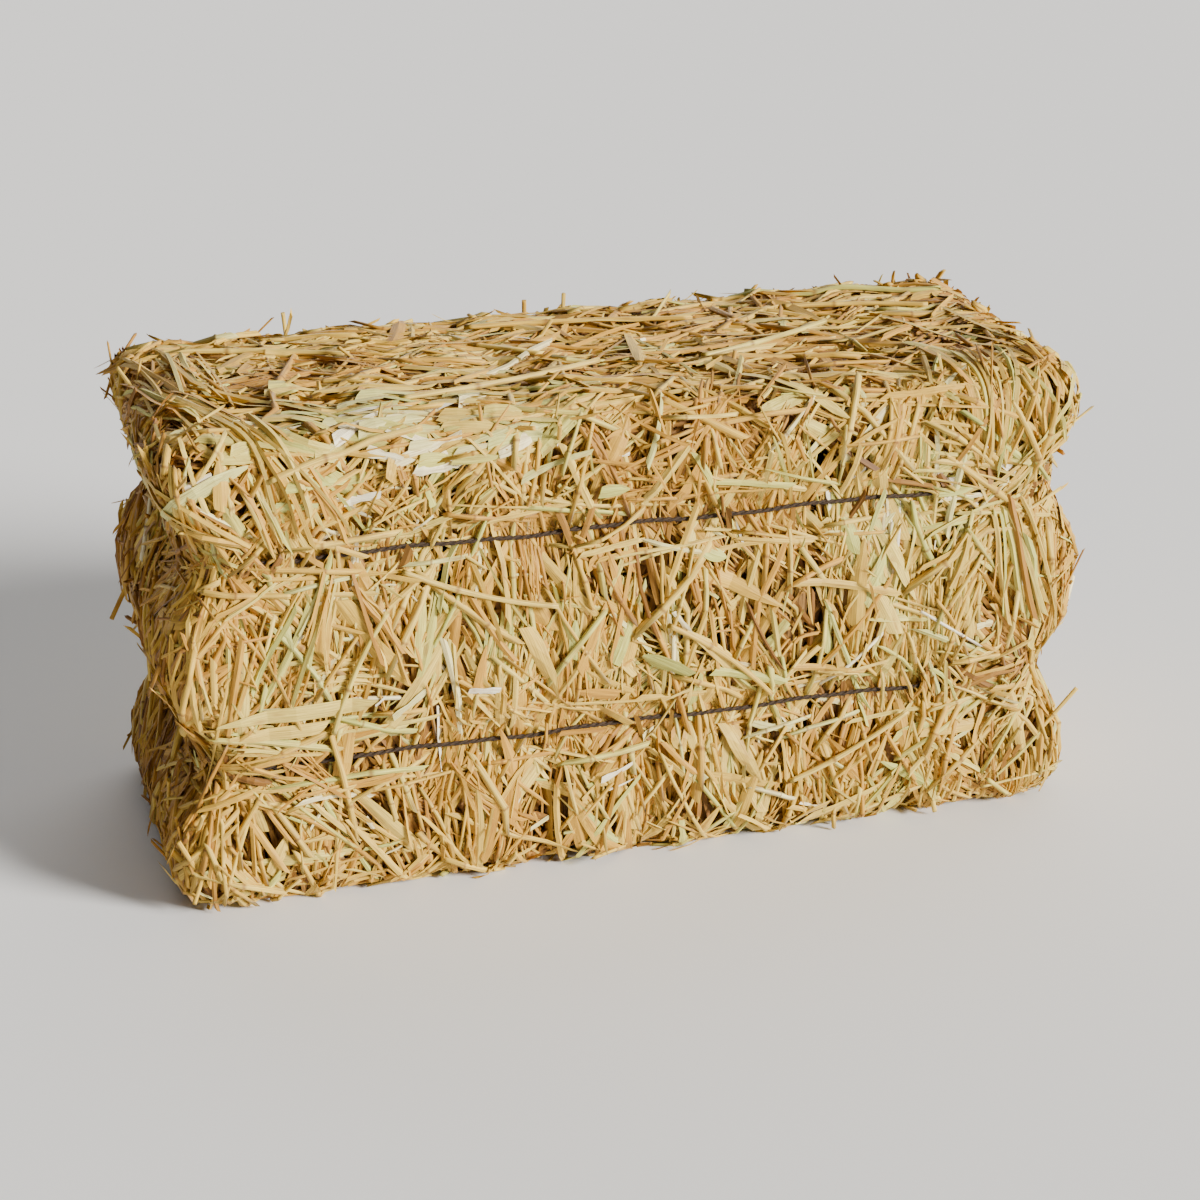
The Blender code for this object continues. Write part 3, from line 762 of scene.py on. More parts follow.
def build_mesh(name, records, painted=True):
    """One mesh from records of bent stalks. painted gives each stalk its own cell of the picture."""
    count = sum(len(r["tone"]) for r in records)
    cells = math.ceil(math.sqrt(count))
    co, sizes, loop_corners, maps, grain, tones, depths, joints, smooth = ([] for _ in range(9))
    first_corner, cell = 0, 0
    for r in records:
        shape = r["shape"]
        number, per = len(r["tone"]), len(shape["co"])
        if not number:
            continue
        co.append(r["corners"].reshape(-1, 3))
        sizes.append(np.tile(shape["sizes"], number))
        smooth.append(np.full(number * len(shape["sizes"]), shape["smooth"]))
        starts = first_corner + per * np.arange(number)
        loop_corners.append((starts[:, None] + shape["corners"][None]).ravel())
        ids = cell + np.arange(number)
        corner = np.stack([ids % cells, ids // cells], axis=1)[:, None, :]
        maps.append(((corner + 0.06 + 0.88 * shape["uv"][None]) / cells).reshape(-1, 2))
        real = np.stack([np.pi * r["width"], r["length"]], axis=1)[:, None, :]
        grain.append((shape["uv"][None] * real + corner * 0.37).reshape(-1, 2))
        tones.append(np.repeat(r["tone"], per))
        depths.append(np.repeat(r["offset"], per))
        joints.append(np.tile(shape["joint"], number))
        first_corner += number * per
        cell += number
    co, sizes, loop_corners = np.concatenate(co), np.concatenate(sizes), np.concatenate(loop_corners)
    mesh = bpy.data.meshes.new(name)
    mesh.vertices.add(len(co))
    mesh.vertices.foreach_set("co", co.astype(np.float32).ravel())
    mesh.loops.add(len(loop_corners))
    mesh.loops.foreach_set("vertex_index", loop_corners.astype(np.int32))
    mesh.polygons.add(len(sizes))
    mesh.polygons.foreach_set("loop_start", (np.cumsum(sizes) - sizes).astype(np.int32))
    mesh.polygons.foreach_set("use_smooth", np.concatenate(smooth))
    mesh.update(calc_edges=True)
    for map_name, values in ((("OFBake", maps),) if painted else ()) + (("Grain", grain),):
        layer = mesh.uv_layers.new(name=map_name)
        layer.data.foreach_set("uv", np.concatenate(values).astype(np.float32).ravel())
    for key, values in (("tone", tones), ("depth", depths), ("joint", joints)):
        attribute = mesh.attributes.new(key, "FLOAT", "POINT")
        attribute.data.foreach_set("value", np.concatenate(values).astype(np.float32))
    mesh.validate()
    return mesh


# %% [markdown]
# ## Pieces that catch the eye
#
# Some pieces are seen at once: a few broad tan blades, bright husks near the top edge, greenish strands, long
# stalks at a slant, and two dark strips along cracks, which are painted shade. Chance would never put them in
# these places, so each is one row here: its two ends and its width in millimetres, and its tone. They are
# bent like the rest and lie on top of it.

# %% Single pieces that show
OUTSTANDING = {
    "flat": (
        ((-285, -48, 452), (-177, -69, 454), 8, 0.60),
        ((-271, -75, 450), (-165, -63, 456), 8, 0.66),
        ((-210, -166, 361), (-132, -166, 360), 8, 0.55),
        ((-325, -176, 308), (-375, -176, 221), 9, 0.79),
        ((-314, -177, 306), (-361, -169, 210), 8, 0.77),
        ((-303, -177, 299), (-337, -178, 207), 8, 0.74),
        ((63, -177, 191), (146, -173, 167), 11, 0.79),
        ((144, -176, 183), (225, -173, 168), 9, 0.45),
        ((143, -179, 272), (261, -171, 245), 9, 0.58),
        ((-438, 101, 443), (-329, -167, 345), 8, 0.52),
        ((-437, 32, 444), (-344, -165, 358), 8, 0.45),
        ((-423, 11, 455), (-320, -166, 352), 9, 0.60),
        ((-441, 161, 435), (-359, -164, 368), 7, 0.40),
        ((-405, 7, 459), (-311, -166, 350), 8, 0.64),
        ((338, -168, 440), (394, -164, 344), 8, 0.60),
        ((310, -175, 406), (390, -167, 340), 8, 0.55),
        # A near-black strip along the middle crack: painted shade.
        ((-11, -164, 339), (13, -176, 229), 5, 0.12),
        ((-140, -177, 245), (-166, -172, 326), 9, 0.50),
        ((-80, -173, 433), (-40, -166, 349), 9, 0.62),
        ((42, -177, 422), (-2, -165, 364), 9, 0.66),
        ((210, -176, 405), (186, -169, 325), 8, 0.58),
        ((-5, 93, 453), (138, 79, 457), 7, 0.66),
        ((-159, 44, 460), (-10, 75, 448), 7, 0.60),
        ((104, -21, 456), (280, 2, 455), 8, 0.55),
        ((309, 21, 457), (389, -112, 458), 8, 0.66),
        ((382, 38, 457), (419, -139, 454), 7, 0.60),
    ),
    "fine": (
        # A near-black strip along a crack: painted shade.
        ((99, -176, 261), (141, -175, 179), 4, 0.05),
    ),
    "blade": (
        ((292, -168, 344), (332, -166, 347), 10, 0.80),
        ((300, -62, 456), (341, -146, 455), 12, 0.72),
        ((-294, -175, 308), (-224, -177, 209), 24, 0.52),
        ((-256, -176, 199), (-410, -176, 194), 16, 0.70),
        ((-301, -176, 183), (-411, -172, 178), 13, 0.66),
        ((45, -177, 189), (-5, -168, 215), 20, 0.80),
        ((-47, -172, 382), (-15, -166, 381), 14, 0.80),
        ((57, -175, 312), (80, -171, 301), 14, 0.80),
        ((-318, -175, 429), (-273, -156, 446), 12, 0.86),
        ((-120, -176, 262), (-82, -173, 175), 16, 0.58),
        ((81, -165, 129), (119, -177, 64), 16, 0.60),
        ((235, -175, 312), (275, -175, 235), 15, 0.70),
    ),
    "husk": (
        ((-290, -164, 445), (-237, -142, 458), 15, 0.97),
        ((-281, -150, 452), (-244, -148, 456), 11, 0.93),
        ((-184, -124, 450), (-128, -104, 456), 14, 0.99),
        ((-222, -148, 454), (-179, -124, 453), 9, 0.90),
        ((-283, -171, 396), (-246, -175, 401), 11, 0.98),
        ((-173, -176, 199), (-141, -179, 198), 12, 1.00),
        ((-46, -176, 89), (-11, -169, 101), 9, 0.98),
        ((274, -170, 331), (310, -171, 333), 15, 0.95),
    ),
    "coarse": (
        ((-347, -174, 422), (-206, -161, 450), 6.5, 0.62),
        ((-409, -168, 318), (-332, -175, 312), 5.5, 0.55),
        ((209, 148, 462), (405, 93, 458), 6, 0.78),
        ((406, -161, 340), (365, -168, 427), 6, 0.58),
        ((405, -168, 420), (393, -165, 343), 6, 0.52),
    ),
}


def outstanding():
    """One record of bent pieces for every kind named in the table."""
    made = []
    for kind, rows in OUTSTANDING.items():
        first, last = (np.array([row[i] for row in rows], float) / 1000 for i in (0, 1))
        middle = (first + last) / 2
        table = batch(
            middle,
            facing_at(middle),
            unit(last - first),
            offset=rng.uniform(0.0035, 0.0060, len(rows)),
            tilt=0.0,
            lift=0.0,
            length=np.linalg.norm(last - first, axis=1),
            width=np.array([row[2] for row in rows]) / 1000,
            bow=rng.normal(0, 0.05, len(rows)),
            tone=np.array([row[3] for row in rows]),
            follow=0.92,
        )
        made.append(pieces_of(bent_stalks(table, kind), table, kind))
    return made


print("pieces seen at once:", {kind: len(rows) for kind, rows in OUTSTANDING.items()})

# %% [markdown]
# ## Stalks that stand out
#
# A few coarse stalks stick out so far that the solids have them too, as plain bars with six sides.
# Stalks laid on the skin would leave those places bare. So each bar gets a whole round stalk with an
# open end, out to the same tip. A tip is found by its six corners, which are far off the skin.

# %% Stalks that stand out of the solids
TIP_LENGTH, TIP_HEIGHT, TIP_SPAN, TIP_CORNERS = 0.056, 0.006, 0.008, 6


def standing_tips(flake):
    """The corners of each end of a stalk that stands out of a solid flake."""
    loose = []
    for co in np.unique(np.round([v.co[:] for v in flake.data.vertices], 5), axis=0).tolist():
        ground, normal = skin_tree.find_nearest(co)[:2]
        if (Vector(co) - ground).dot(normal) > TIP_HEIGHT:
            loose.append(Vector(co))
    tips = []
    while loose:
        near = [p for p in loose if (p - loose[0]).length < TIP_SPAN]
        loose = [p for p in loose if p not in near]
        if len(near) == TIP_CORNERS:
            tips.append(np.array([p[:] for p in near]))
    return tips


def standing():
    """Whole stalks in place of the solids' own, out to the same tips."""
    lines, facings = [], []
    for cap in (tip for flake in flakes for tip in standing_tips(flake)):
        centre = cap.mean(axis=0)
        thin, along = np.linalg.svd(cap - centre)[2][1:]
        along = along * (1 if along @ facing_at(centre[None])[0] > 0 else -1)
        lines.append(centre + along * (STEPS[:, None] - 0.5) * TIP_LENGTH)
        facings.append(np.tile(thin, (len(STEPS), 1)))
    lines, count = np.array(lines), len(lines)
    table = batch(
        lines[:, 3],
        np.array(facings)[:, 0],
        unit(lines[:, -1] - lines[:, 0]),
        offset=0.001,
        length=TIP_LENGTH,
        width=rng.uniform(0.0040, 0.0052, count),
        tone=rng.uniform(0.38, 0.66, count),
    )
    corners = grow(lines, np.array(facings), table, SHAPES["coarse"], 0.7, 0.0)
    print("stalks standing out:", count)
    return [pieces_of(corners, table, "coarse")]


# %% [markdown]
# ## All the stalks of the bale
#
# The tables are now dealt out to kinds of stalk. One kind for all would be simpler, but straw is a mix
# of round stalks, crushed ones and fine ones. Deep stalks are flat or fine, because little of them
# shows. The long shape has more cross-sections, for the bundles that bend round a corner.

# %% Lay every stalk
def split_kinds(table, shares):
    """The table dealt out to kinds of stalk by the given shares."""
    kinds = list(shares)
    dealt = rng.choice(len(kinds), len(table["tone"]), p=np.array(list(shares.values())))
    return {kind: {k: v[dealt == i] for k, v in table.items()} for i, kind in enumerate(kinds)}


plan = []
for table, shares in (
    (deep, {"flat": 0.7, "fine": 0.3}),
    (middle, {"flat": 0.52, "round": 0.26, "fine": 0.22}),
    (upper, {"flat": 0.50, "round": 0.42, "fine": 0.08}),
    (stray, {"flat": 0.4, "round": 0.5, "fine": 0.1}),
    (sheaf, {"flat": 0.6, "round": 0.4}),
    (corners_drawn, {"long": 1.0}),
    (ledge, {"flat": 0.6, "round": 0.4}),
    (blades, {"blade": 1.0}),
    (husks, {"husk": 1.0}),
    (papery, {"husk": 0.6, "blade": 0.4}),
    (chaff, {"bit": 0.8, "fine": 0.2}),
):
    for kind, dealt in split_kinds(table, shares).items():
        plan.append(pieces_of(bent_stalks(dealt, kind), dealt, kind))
plan += outstanding() + standing()
total = sum(len(r["tone"]) for r in plan)
triangles = sum(len(r["tone"]) * int((r["shape"]["sizes"] - 2).sum()) for r in plan)
print("stalks in all:", total, " triangles:", triangles)

# %% [markdown]
# ## The materials
#
# Dry straw is a waxy, slightly silky skin over pale pith. Its colour runs from rusty brown where it is old,
# through gold and tan, to a pale green leaf and a nearly white husk. Straw deep in the bale is painted darker
# and browner still, as painted shade. Fine lines run along each stalk. The twine is dark brown treated fibre,
# rough and dull. One material for each tone would need dozens of them. Instead one reads each stalk's tone
# and depth from its mesh, and the depth darkens the colour as painted shade.

# %% Straw and twine


def srgb(red, green, blue):
    """A display colour from 0 to 255 as the linear colour that a shader takes."""
    shares = [c / 255 for c in (red, green, blue)]
    return (*(c / 12.92 if c <= 0.04045 else ((c + 0.055) / 1.055) ** 2.4 for c in shares), 1.0)


class Tree:
    """Short ways to add and link the nodes of a new material."""

    def __init__(self, name):
        self.material = bpy.data.materials.new(name)
        self.material.use_nodes = True
        self.tree = self.material.node_tree
        self.shader = self.tree.nodes["Principled BSDF"]

    def add(self, kind, links=None, **settings):
        """A new node. links has a source for each of its sockets that is used."""
        made = self.tree.nodes.new(kind)
        for key, value in settings.items():
            setattr(made, key, value)
        for socket, source in (links or {}).items():
            self.put(source, made.inputs[socket])
        return made

    def put(self, source, socket):
        """Links another socket to this one, or sets its value."""
        if isinstance(source, bpy.types.NodeSocket):
            self.tree.links.new(source, socket)
        else:
            socket.default_value = source

    def surface(self, **sources):
        """Fills sockets of the shader. Their names are written with _ for each space."""
        for name, source in sources.items():
            self.put(source, self.shader.inputs[name.replace("_", " ")])

    def number(self, name):
        """The number that a mesh carries under a name."""
        return self.add("ShaderNodeAttribute", attribute_name=name).outputs["Fac"]

    def ramp(self, factor, stops):
        """The colour at a factor, between the colours at the stops."""
        made = self.add("ShaderNodeValToRGB", {"Fac": factor})
        while len(made.color_ramp.elements) < len(stops):
            made.color_ramp.elements.new(0.5)
        for element, (place, colour) in zip(made.color_ramp.elements, stops):
            element.position, element.color = place, colour
        return made.outputs["Color"]

    def mix(self, factor, a, b, kind="MIX"):
        """Two colours mixed."""
        made = self.add("ShaderNodeMix", data_type="RGBA", blend_type=kind)
        for index, source in ((0, factor), (6, a), (7, b)):
            self.put(source, made.inputs[index])
        return made.outputs[2]

    def scale_to(self, value, low, high, to_low, to_high):
        """The value moved from one range to another and kept inside it."""
        links = {"Value": value, "From Min": low, "From Max": high, "To Min": to_low, "To Max": to_high}
        return self.add("ShaderNodeMapRange", links).outputs["Result"]

    def lines(self, where, scale, detail):
        """Noise drawn out to fine lines by a scale for each axis."""
        place = self.add("ShaderNodeMapping", {"Vector": where, "Scale": scale}).outputs["Vector"]
        links = {"Vector": place, "Scale": 1.0, "Detail": detail}
        return self.add("ShaderNodeTexNoise", links).outputs["Fac"]

    def grain(self, across, along, detail=3.0):
        """Fine lines along each stalk."""
        where = self.add("ShaderNodeUVMap", uv_map="Grain").outputs["UV"]
        return self.lines(where, (across, along, 1.0), detail)

    def relief(self, height, strength, distance):
        """Small bumps in the surface."""
        links = {"Height": height, "Strength": strength, "Distance": distance}
        self.surface(Normal=self.add("ShaderNodeBump", links).outputs["Normal"])


FIBRE_DARK, FIBRE_LIGHT = (0.60, 0.52, 0.42, 1), (1.10, 1.08, 1.02, 1)
STRAW_TONES = (
    (0.00, srgb(98, 64, 24)),
    (0.16, srgb(158, 110, 42)),
    (0.34, srgb(200, 150, 54)),
    (0.52, srgb(214, 177, 72)),
    (0.68, srgb(226, 199, 102)),
    (0.80, srgb(196, 198, 104)),
    (0.90, srgb(240, 228, 168)),
    (1.00, srgb(252, 246, 222)),
)


def straw_material(name, roughness):
    """Straw in the tone of each stalk, with lines along it, blotches, brown joints and shade deep down."""
    t = Tree(name)
    colour = t.ramp(t.number("tone"), STRAW_TONES)
    fibre = t.ramp(t.grain(900.0, 26.0), ((0.32, FIBRE_DARK), (0.60, FIBRE_LIGHT)))
    colour = t.mix(1.0, colour, fibre, "MULTIPLY")
    blotch = t.grain(60.0, 34.0, 2.0)
    colour = t.mix(t.scale_to(blotch, 0.56, 0.72, 0.0, 0.45), colour, srgb(150, 96, 46))
    shade = t.scale_to(t.number("depth"), -0.010, 0.001, 0.62, 1.0)
    grey = t.add("ShaderNodeCombineColor", {"Red": shade, "Green": shade, "Blue": shade}).outputs["Color"]
    colour = t.mix(1.0, colour, grey, "MULTIPLY")
    colour = t.mix(t.scale_to(t.number("joint"), 0.3, 0.9, 0.0, 0.7), colour, srgb(120, 74, 34))
    t.surface(Base_Color=colour, Roughness=roughness, Sheen_Weight=0.08, Specular_IOR_Level=0.3)
    t.relief(t.grain(1500.0, 18.0, 2.0), 0.35, 0.0004)
    return t.material


def core_material_painted_shade():
    """The matted straw deep in the bale, seen only through gaps, in dark browns that are painted shade."""
    t = Tree("packed_straw_painted_shade")
    where = t.add("ShaderNodeTexCoord").outputs["Object"]
    fibre = t.lines(where, (420.0, 420.0, 34.0), 4.0)
    # Dark browns: painted shade for the gaps.
    colour = t.ramp(fibre, ((0.30, srgb(70, 46, 16)), (0.52, srgb(130, 92, 38)), (0.72, srgb(176, 134, 64))))
    t.surface(Base_Color=colour, Roughness=0.85)
    t.relief(fibre, 0.8, 0.002)
    return t.material


def twine_material():
    """Dark brown fibre with lines along each yarn."""
    t = Tree("baler_twine")
    fibre = t.grain(1700.0, 260.0, 4.0)
    colour = t.ramp(fibre, ((0.30, srgb(30, 21, 13)), (0.55, srgb(58, 42, 27)), (0.75, srgb(98, 74, 50))))
    t.surface(Base_Color=colour, Roughness=0.9)
    t.relief(fibre, 0.6, 0.0004)
    return t.material


straw, loose_straw = straw_material("straw", 0.58), straw_material("loose_straw", 0.50)
packed_painted_shade, twine = core_material_painted_shade(), twine_material()
print("materials:", [m.name for m in (straw, loose_straw, packed_painted_shade, twine)])

# %% [markdown]
# ## The flakes
#
# A flake is the wad that one plunger stroke packs. Stalks alone would let light through it. So behind
# them each flake has a solid mat of matted straw, which stays under the skin everywhere. Between two
# flakes it falls away, so the seams stay dark as in a real bale. Each stalk belongs to the flake that
# its middle is in.

# %% Mats and stalks of each flake
MAT_DEPTH, MAT_CELL, MAT_SMOOTHING, MAT_UNEVEN = 0.007, 0.015, 2, 0.002
edges = [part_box(f.name) for f in flakes]
borders = [-1.0] + [(a[1].x + b[0].x) / 2 for a, b in zip(edges, edges[1:])] + [1.0]


def shrink(mesh, depth):
    """Moves a mesh's surface inwards, unevenly, until none of it is nearer to the skin than the depth."""
    bm = bmesh.new()
    bm.from_mesh(mesh)
    bm.normal_update()
    moves = [(v, v.normal * -(depth + MAT_UNEVEN * noise.noise(v.co / MAT_CELL))) for v in bm.verts]
    for v, move in moves:
        v.co += move
        ground, normal = skin_tree.find_nearest(v.co)[:2]
        v.co -= normal * max(0.0, (v.co - ground).dot(normal) + depth)
        v.co.z = max(v.co.z, FLOOR_CLEARANCE)
    for f in bm.faces:
        f.smooth = True
    bm.to_mesh(mesh)
    bm.free()


def add_piece(name, mesh, material, slot, *stands_for):
    """A mesh as a piece of the bale, with its material, body and the solid that it replaces. slot is not
    used.
    """
    piece = new_object(name, mesh)
    piece.data.materials.append(material)
    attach(piece, "root")
    if stands_for:
        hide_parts(*stands_for)


for index, flake in enumerate(flakes):
    mat_mesh = remeshed(f"{flake.name}_mat", [flake], MAT_CELL, MAT_SMOOTHING)
    shrink(mat_mesh, MAT_DEPTH)
    add_piece(f"{flake.name}_mat", mat_mesh, packed_painted_shade, "straw", flake.name)
    own = []
    for record in plan:
        x = record["middle"][:, 0]
        own.append(only(record, (x >= borders[index]) & (x < borders[index + 1])))
    stalk_mesh = build_mesh(f"{flake.name}_stalks", own)
    add_piece(f"{flake.name}_stalks", stalk_mesh, straw, "straw")
    print(flake.name, "stalks:", sum(len(r["tone"]) for r in own), " faces:", len(stalk_mesh.polygons))

# %% [markdown]
# ## Loose stalks
#
# A few long stalks lie right on the outside, over several flakes. The solids have them as thin bars,
# and each one here follows the middle line of its bar, to stay where the solid is. They are whole
# round stalks, so they get joints and open ends.

# %% Loose stalks
LOOSE_WIDTH = 0.0052


def middle_line(node, count):
    """Points along the middle of a thin solid, from one end to the other."""
    points = np.unique(np.round([v.co[:] for v in node.data.vertices], 6), axis=0)
    centre = points.mean(axis=0)
    main = np.linalg.svd(points - centre)[2][0]
    ranked = points[np.argsort((points - centre) @ main)]
    return np.array([ring.mean(axis=0) for ring in np.array_split(ranked, count)])


for name in sorted(n for n in nodes if n.startswith("loose_stalk")):
    line = middle_line(nodes[name], 6)[None]
    table = {
        "tone": np.array([rng.uniform(0.45, 0.72)]),
        "offset": np.array([0.002]),
        "length": np.array([float(np.linalg.norm(line[0, -1] - line[0, 0]))]),
        "width": np.array([LOOSE_WIDTH]),
        "middle": line[0, 2:3],
    }
    corners = grow(line, facing_at(line[0])[None], table, SHAPES["coarse"], *FORM["coarse"])
    mesh = build_mesh(f"{name}_straw", [pieces_of(corners, table, "coarse")])
    add_piece(f"{name}_straw", mesh, loose_straw, "loose_straw", name)
print("loose stalks:", sum(n.startswith("loose_stalk") for n in nodes))

# %% [markdown]
# ## Baler twine
#
# Baler twine is two yarns twisted round each other, drawn tight round the bale. A smooth tube with a
# painted twist would look like wire, so each yarn is made. First comes the line that it follows: round
# the loop, out over the knot, and at the same time round the other yarn.

# %% The line that a yarn follows
YARN_RADIUS, YARN_OFF, YARN_TURN, TURN_STEPS = 0.00138, 0.00108, 0.018, 6
KNOT_LIFT, KNOT_REACH, CORNER_STEPS = 0.0066, 0.05, 12


def loop_route(loop, spacing):
    """Points round a loop of twine at even steps, lifted at its knot."""
    corner = TWINE_CORNER
    left, right = loop["left"] + corner, loop["right"] - corner
    front, back = loop["front"] + corner, loop["back"] - corner
    route = []
    for number, (x, y) in enumerate(((right, front), (right, back), (left, back), (left, front))):
        for step in range(CORNER_STEPS + 1):
            angle = math.radians(90 * (number - 1 + step / CORNER_STEPS))
            route.append((x + corner * math.cos(angle), y + corner * math.sin(angle)))
    route.append(route[0])
    route = np.array(route)
    run = np.concatenate([[0], np.cumsum(np.linalg.norm(np.diff(route, axis=0), axis=1))])
    at = np.linspace(0, run[-1], round(run[-1] / spacing), endpoint=False)
    x, y = np.interp(at, run, route[:, 0]), np.interp(at, run, route[:, 1])
    near = np.clip(1 - np.abs(x - loop["knot"]) / KNOT_REACH, 0, 1) * (y > back)
    y = y + KNOT_LIFT * near * near * (3 - 2 * near)
    z = loop["level"] + 0.0012 * np.sin(at * 31) + 0.0006 * np.sin(at * 83 + 1)
    return np.stack([x, y, z], axis=1)


def cross_axes(route):
    """Two directions square to a route at each of its points, carried along it without a sudden turn."""
    ahead = unit(np.gradient(route, axis=0))
    up = UPRIGHT
    if abs(ahead[0, 2]) > 0.9:
        up = np.eye(3)[np.abs(ahead[0] - [0, 0, 0.1]).argmin()]
    ups = []
    for way in ahead:
        up = unit(up - way * (up @ way))
        ups.append(up)
    return np.cross(ahead, ups), np.array(ups)


def twisted(route, turns, closed):
    """The middle lines of two yarns twisted round a route."""
    across, up = cross_axes(route)
    phase = np.linspace(0, 2 * math.pi * turns, len(route), endpoint=not closed)[:, None]
    return [route + YARN_OFF * (across * np.cos(phase + p) + up * np.sin(phase + p)) for p in (0, math.pi)]


for name, loop in loops.items():
    print(name, "steps round the bale:", len(loop_route(loop, YARN_TURN / TURN_STEPS)))

# %% [markdown]
# ### A yarn that closes on itself
#
# A loop has no ends, and a curve that closes would show a step where its twist doesn't meet. The yarn
# starts as a small circle spun once round, which closes by itself. Each of its cross-sections is then
# moved to its place on the line.

# %% A yarn that closes on itself
def near_to(value, other, period):
    """The value shifted by whole periods to lie close to the other one."""
    return other + (value - other + period / 2) % period - period / 2


def ring_place(co):
    """A point of the even ring as shares of a turn: round the ring, and round its section."""
    out = math.hypot(co.x, co.y) - 1
    return math.atan2(co.y, co.x) / (2 * math.pi), math.atan2(co.z, out) / (2 * math.pi)


def closed_yarn(line):
    """A ring with one cross-section for each point of the closed line, moved onto it."""
    bm = bmesh.new()
    bmesh.ops.create_circle(bm, segments=YARN_SIDES, radius=0.2)
    bmesh.ops.rotate(bm, verts=bm.verts, matrix=Matrix.Rotation(math.pi / 2, 3, "X"))
    bmesh.ops.translate(bm, verts=bm.verts, vec=(1, 0, 0))
    geometry = bm.verts[:] + bm.edges[:]
    bmesh.ops.spin(bm, geom=geometry, axis=(0, 0, 1), angle=2 * math.pi, steps=len(line), use_merge=True)
    grain = bm.loops.layers.uv.new("Grain")
    length = float(np.linalg.norm(np.diff(line, axis=0), axis=1).sum())
    for face in bm.faces:
        face.smooth = True
        round_ring, round_section = ring_place(face.calc_center_median())
        for corner in face.loops:
            ring, section = ring_place(corner.vert.co)
            around = near_to(section, round_section, 1.0) * 2 * math.pi * YARN_RADIUS
            corner[grain].uv = around, near_to(ring, round_ring, 1.0) * length
    across, up = cross_axes(line)
    for v in bm.verts:
        ring, section = ring_place(v.co)
        step = round(ring * len(line)) % len(line)
        turn = section * 2 * math.pi
        v.co = line[step] + YARN_RADIUS * (across[step] * math.cos(turn) + up[step] * math.sin(turn))
    bmesh.ops.recalc_face_normals(bm, faces=bm.faces)
    mesh = bpy.data.meshes.new("closed_yarn")
    bm.to_mesh(mesh)
    bm.free()
    return mesh


# %% [markdown]
# ### Knot, tails and fibres
#
# The baler's knotter leaves a small hard knot with two cut tails, here on the back. A lump would do
# from far away. An overhand knot pulled small, made of the same two yarns, shows how the twine holds.
# Short fibres stand off all along the twine and take the hard edge from it.

# %% Knot, tails and fibres
YARN_END_WIDTH, FIBRE_WIDTH, FIBRES, KNOT_SIZE = 0.0023, 0.0003, 260, 0.0046


def open_yarns(lines, width, kind):
    """Yarns or fibres with two free ends, bent along their lines."""
    lines = np.array(lines)
    ups = np.array([cross_axes(line)[1] for line in lines])
    table = {
        "tone": np.zeros(len(lines)),
        "offset": np.zeros(len(lines)),
        "length": np.linalg.norm(np.diff(lines, axis=1), axis=2).sum(axis=1),
        "width": np.full(len(lines), width),
        "middle": lines[:, 0],
    }
    return pieces_of(grow(lines, ups, table, SHAPES[kind], 1.0, 0.0), table, kind)


def knot_route(size):
    """The path of an overhand knot pulled small, with its two ends leading away."""
    t = np.linspace(0.10, 1.90, YARN_STEPS) * math.pi
    x = size * (np.sin(t) + 2 * np.sin(2 * t)) * 0.36
    y = size * (np.cos(t) - 2 * np.cos(2 * t)) * 0.30
    z = -size * np.sin(3 * t) * 0.62
    return np.stack([x, z, y], axis=1)


def fibres(route, count):
    """Short curved lines that stand off the twine all round."""
    t = np.linspace(0, 1, 4)[None, :, None]
    start = route[rng.integers(len(route), size=count)][:, None]
    way, bend = unit(rng.normal(0, 1, (2, count, 1, 3)))
    return start + way * rng.uniform(0.003, 0.007, (count, 1, 1)) * t + bend * 0.002 * t * t


def twine_mesh(name, loop):
    """The loop, its knot, its two tails and the fibres that stand off it, as one mesh."""
    route = loop_route(loop, YARN_TURN / TURN_STEPS)
    middle = np.array([loop["knot"] + 0.002, loop["back"] + 0.0071, loop["level"]])
    ends = twisted(knot_route(KNOT_SIZE) + middle, 4, False)
    t = np.linspace(0, 1, YARN_STEPS)[:, None]
    for end in (-1, 1):
        start = middle + [0.001 * end, 0.0015, 0.0]
        bend = start + [0.016 * end, 0.0052, 0.004 * end]
        tip = start + [0.027 * end, 0.0058, -0.008 - 0.004 * end]
        ends += twisted((1 - t) ** 2 * start + 2 * t * (1 - t) * bend + t * t * tip, 2, False)
    records = [open_yarns(ends, YARN_END_WIDTH, "yarn")]
    records.append(open_yarns(fibres(route, FIBRES), FIBRE_WIDTH, "hair"))
    parts = [build_mesh(f"{name}_ends", records, painted=False)]
    parts += [closed_yarn(line) for line in twisted(route, round(len(route) / TURN_STEPS), True)]
    bm = bmesh.new()
    for part in parts:
        bm.from_mesh(part)
        bpy.data.meshes.remove(part)
    mesh = bpy.data.meshes.new(name)
    bm.to_mesh(mesh)
    bm.free()
    return mesh


for name, loop in loops.items():
    mesh = twine_mesh(f"{name}_yarns", loop)
    add_piece(f"{name}_yarns", mesh, twine, "twine", name)
    print(name, "faces:", len(mesh.polygons))

# %% [markdown]
# ## The studio
#
# The bale stands on its narrow long side on a pale floor. Straw shows its form best in low sun, so the
# main light is a wide sun lamp from the front right, which leaves the left end in shade. Even light
# from all round would hide the relief. Weak lamps from overhead and behind open the shadows. The
# camera is far away with a long lens, so the long edges stay almost parallel.

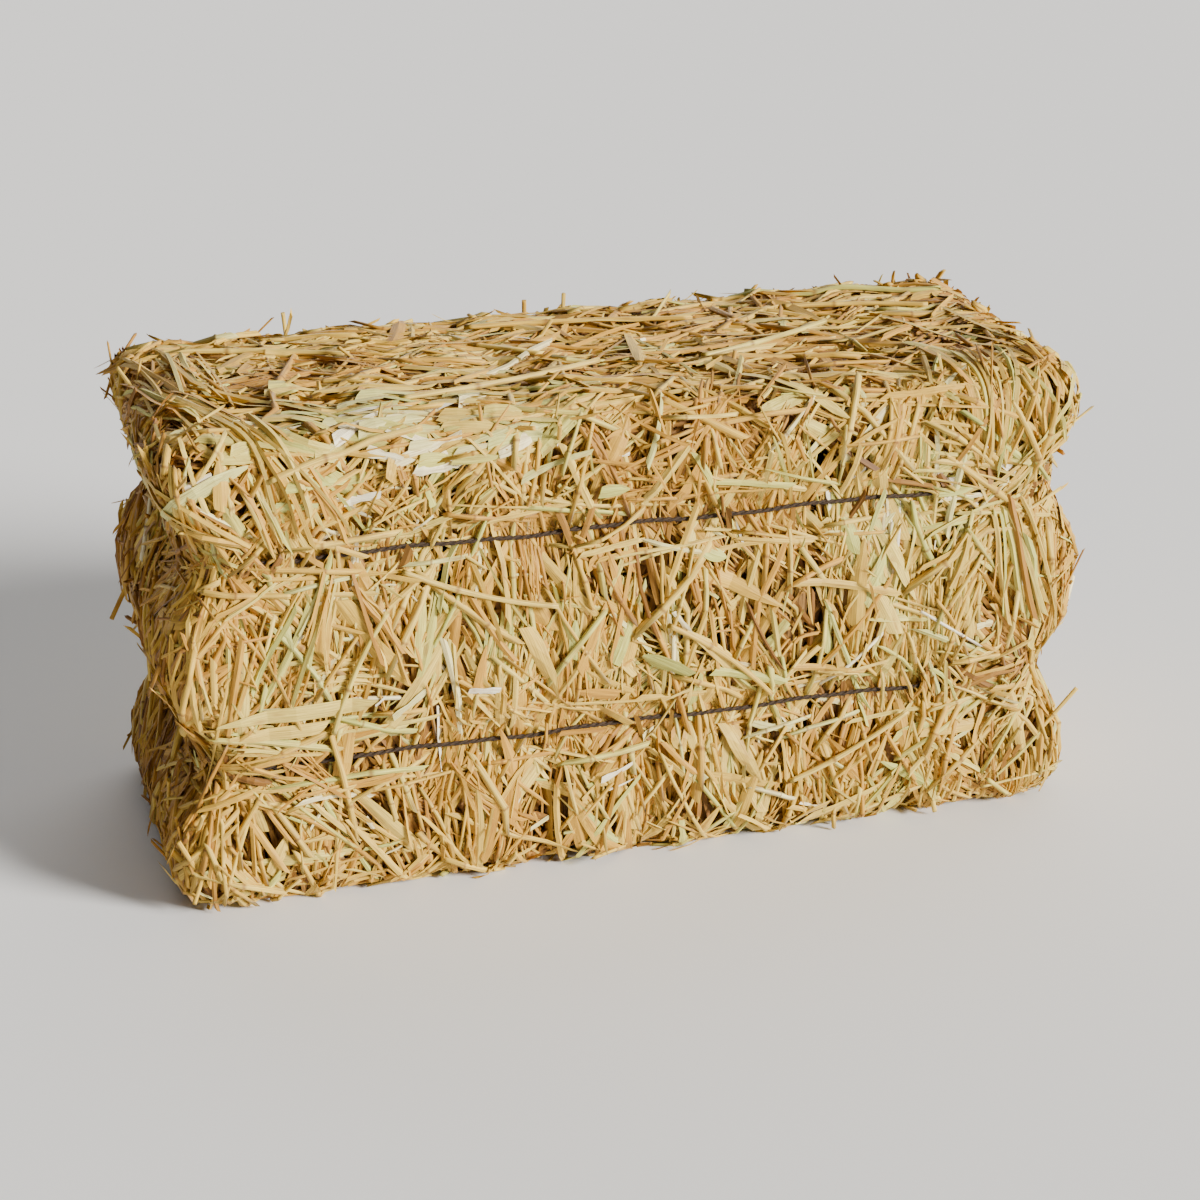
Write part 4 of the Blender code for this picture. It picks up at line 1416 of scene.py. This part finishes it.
# %% Floor, light and camera
floor_bm = bmesh.new()
bmesh.ops.create_grid(floor_bm, x_segments=1, y_segments=1, size=60.0)
floor_mesh = bpy.data.meshes.new("floor")
floor_bm.to_mesh(floor_mesh)
floor_bm.free()
floor = new_object("floor", floor_mesh)
paper = Tree("paper")
paper.surface(Base_Color=(0.86, 0.86, 0.86, 1), Roughness=0.9)
floor.data.materials.append(paper.material)

world = bpy.data.worlds.new("studio")
bpy.context.scene.world = world
world.use_nodes = True
background = world.node_tree.nodes["Background"].inputs
background["Color"].default_value = (1.0, 1.0, 1.0, 1)
background["Strength"].default_value = 0.07


def distant_light(name, comes_from, strength, spread, colour):
    """A sun lamp, which lights the floor evenly. spread, in degrees, is how soft its shadows are."""
    light = bpy.data.lights.new(name, "SUN")
    light.energy, light.angle, light.color = strength, math.radians(spread), colour
    made = new_object(name, light)
    made.rotation_euler = (-Vector(comes_from)).to_track_quat("-Z", "Y").to_euler()


distant_light("key", (0.74, -0.64, 0.36), 9.0, 18, (1.0, 0.97, 0.92))
distant_light("overhead", (0, 0, 1), 0.3, 60, (1.0, 1.0, 1.0))
distant_light("back", (0.40, 0.86, 0.30), 2.2, 90, (1.0, 0.98, 0.95))

YAW, PITCH, DISTANCE = math.radians(16.5), math.radians(22.1), 2.596
PHOTO_SIDE, FOCAL = 1200, 2600
MIDDLE, AIM = (590.9, 572.4), Vector((0, 0, 0.2275))
ahead = Vector((math.sin(YAW) * math.cos(PITCH), math.cos(YAW) * math.cos(PITCH), -math.sin(PITCH)))
camera_data = bpy.data.cameras.new("camera")
camera_data.sensor_width = 36.0
camera_data.lens = FOCAL / PHOTO_SIDE * camera_data.sensor_width
camera_data.shift_x = (PHOTO_SIDE / 2 - MIDDLE[0]) / PHOTO_SIDE
camera_data.shift_y = (MIDDLE[1] - PHOTO_SIDE / 2) / PHOTO_SIDE
camera = new_object("camera", camera_data)
camera.location = AIM - ahead * DISTANCE
camera.rotation_euler = ahead.to_track_quat("-Z", "Y").to_euler()
bpy.context.scene.camera = camera
print("lens in mm:", round(camera_data.lens, 1), " camera at:", [round(c, 3) for c in camera.location])
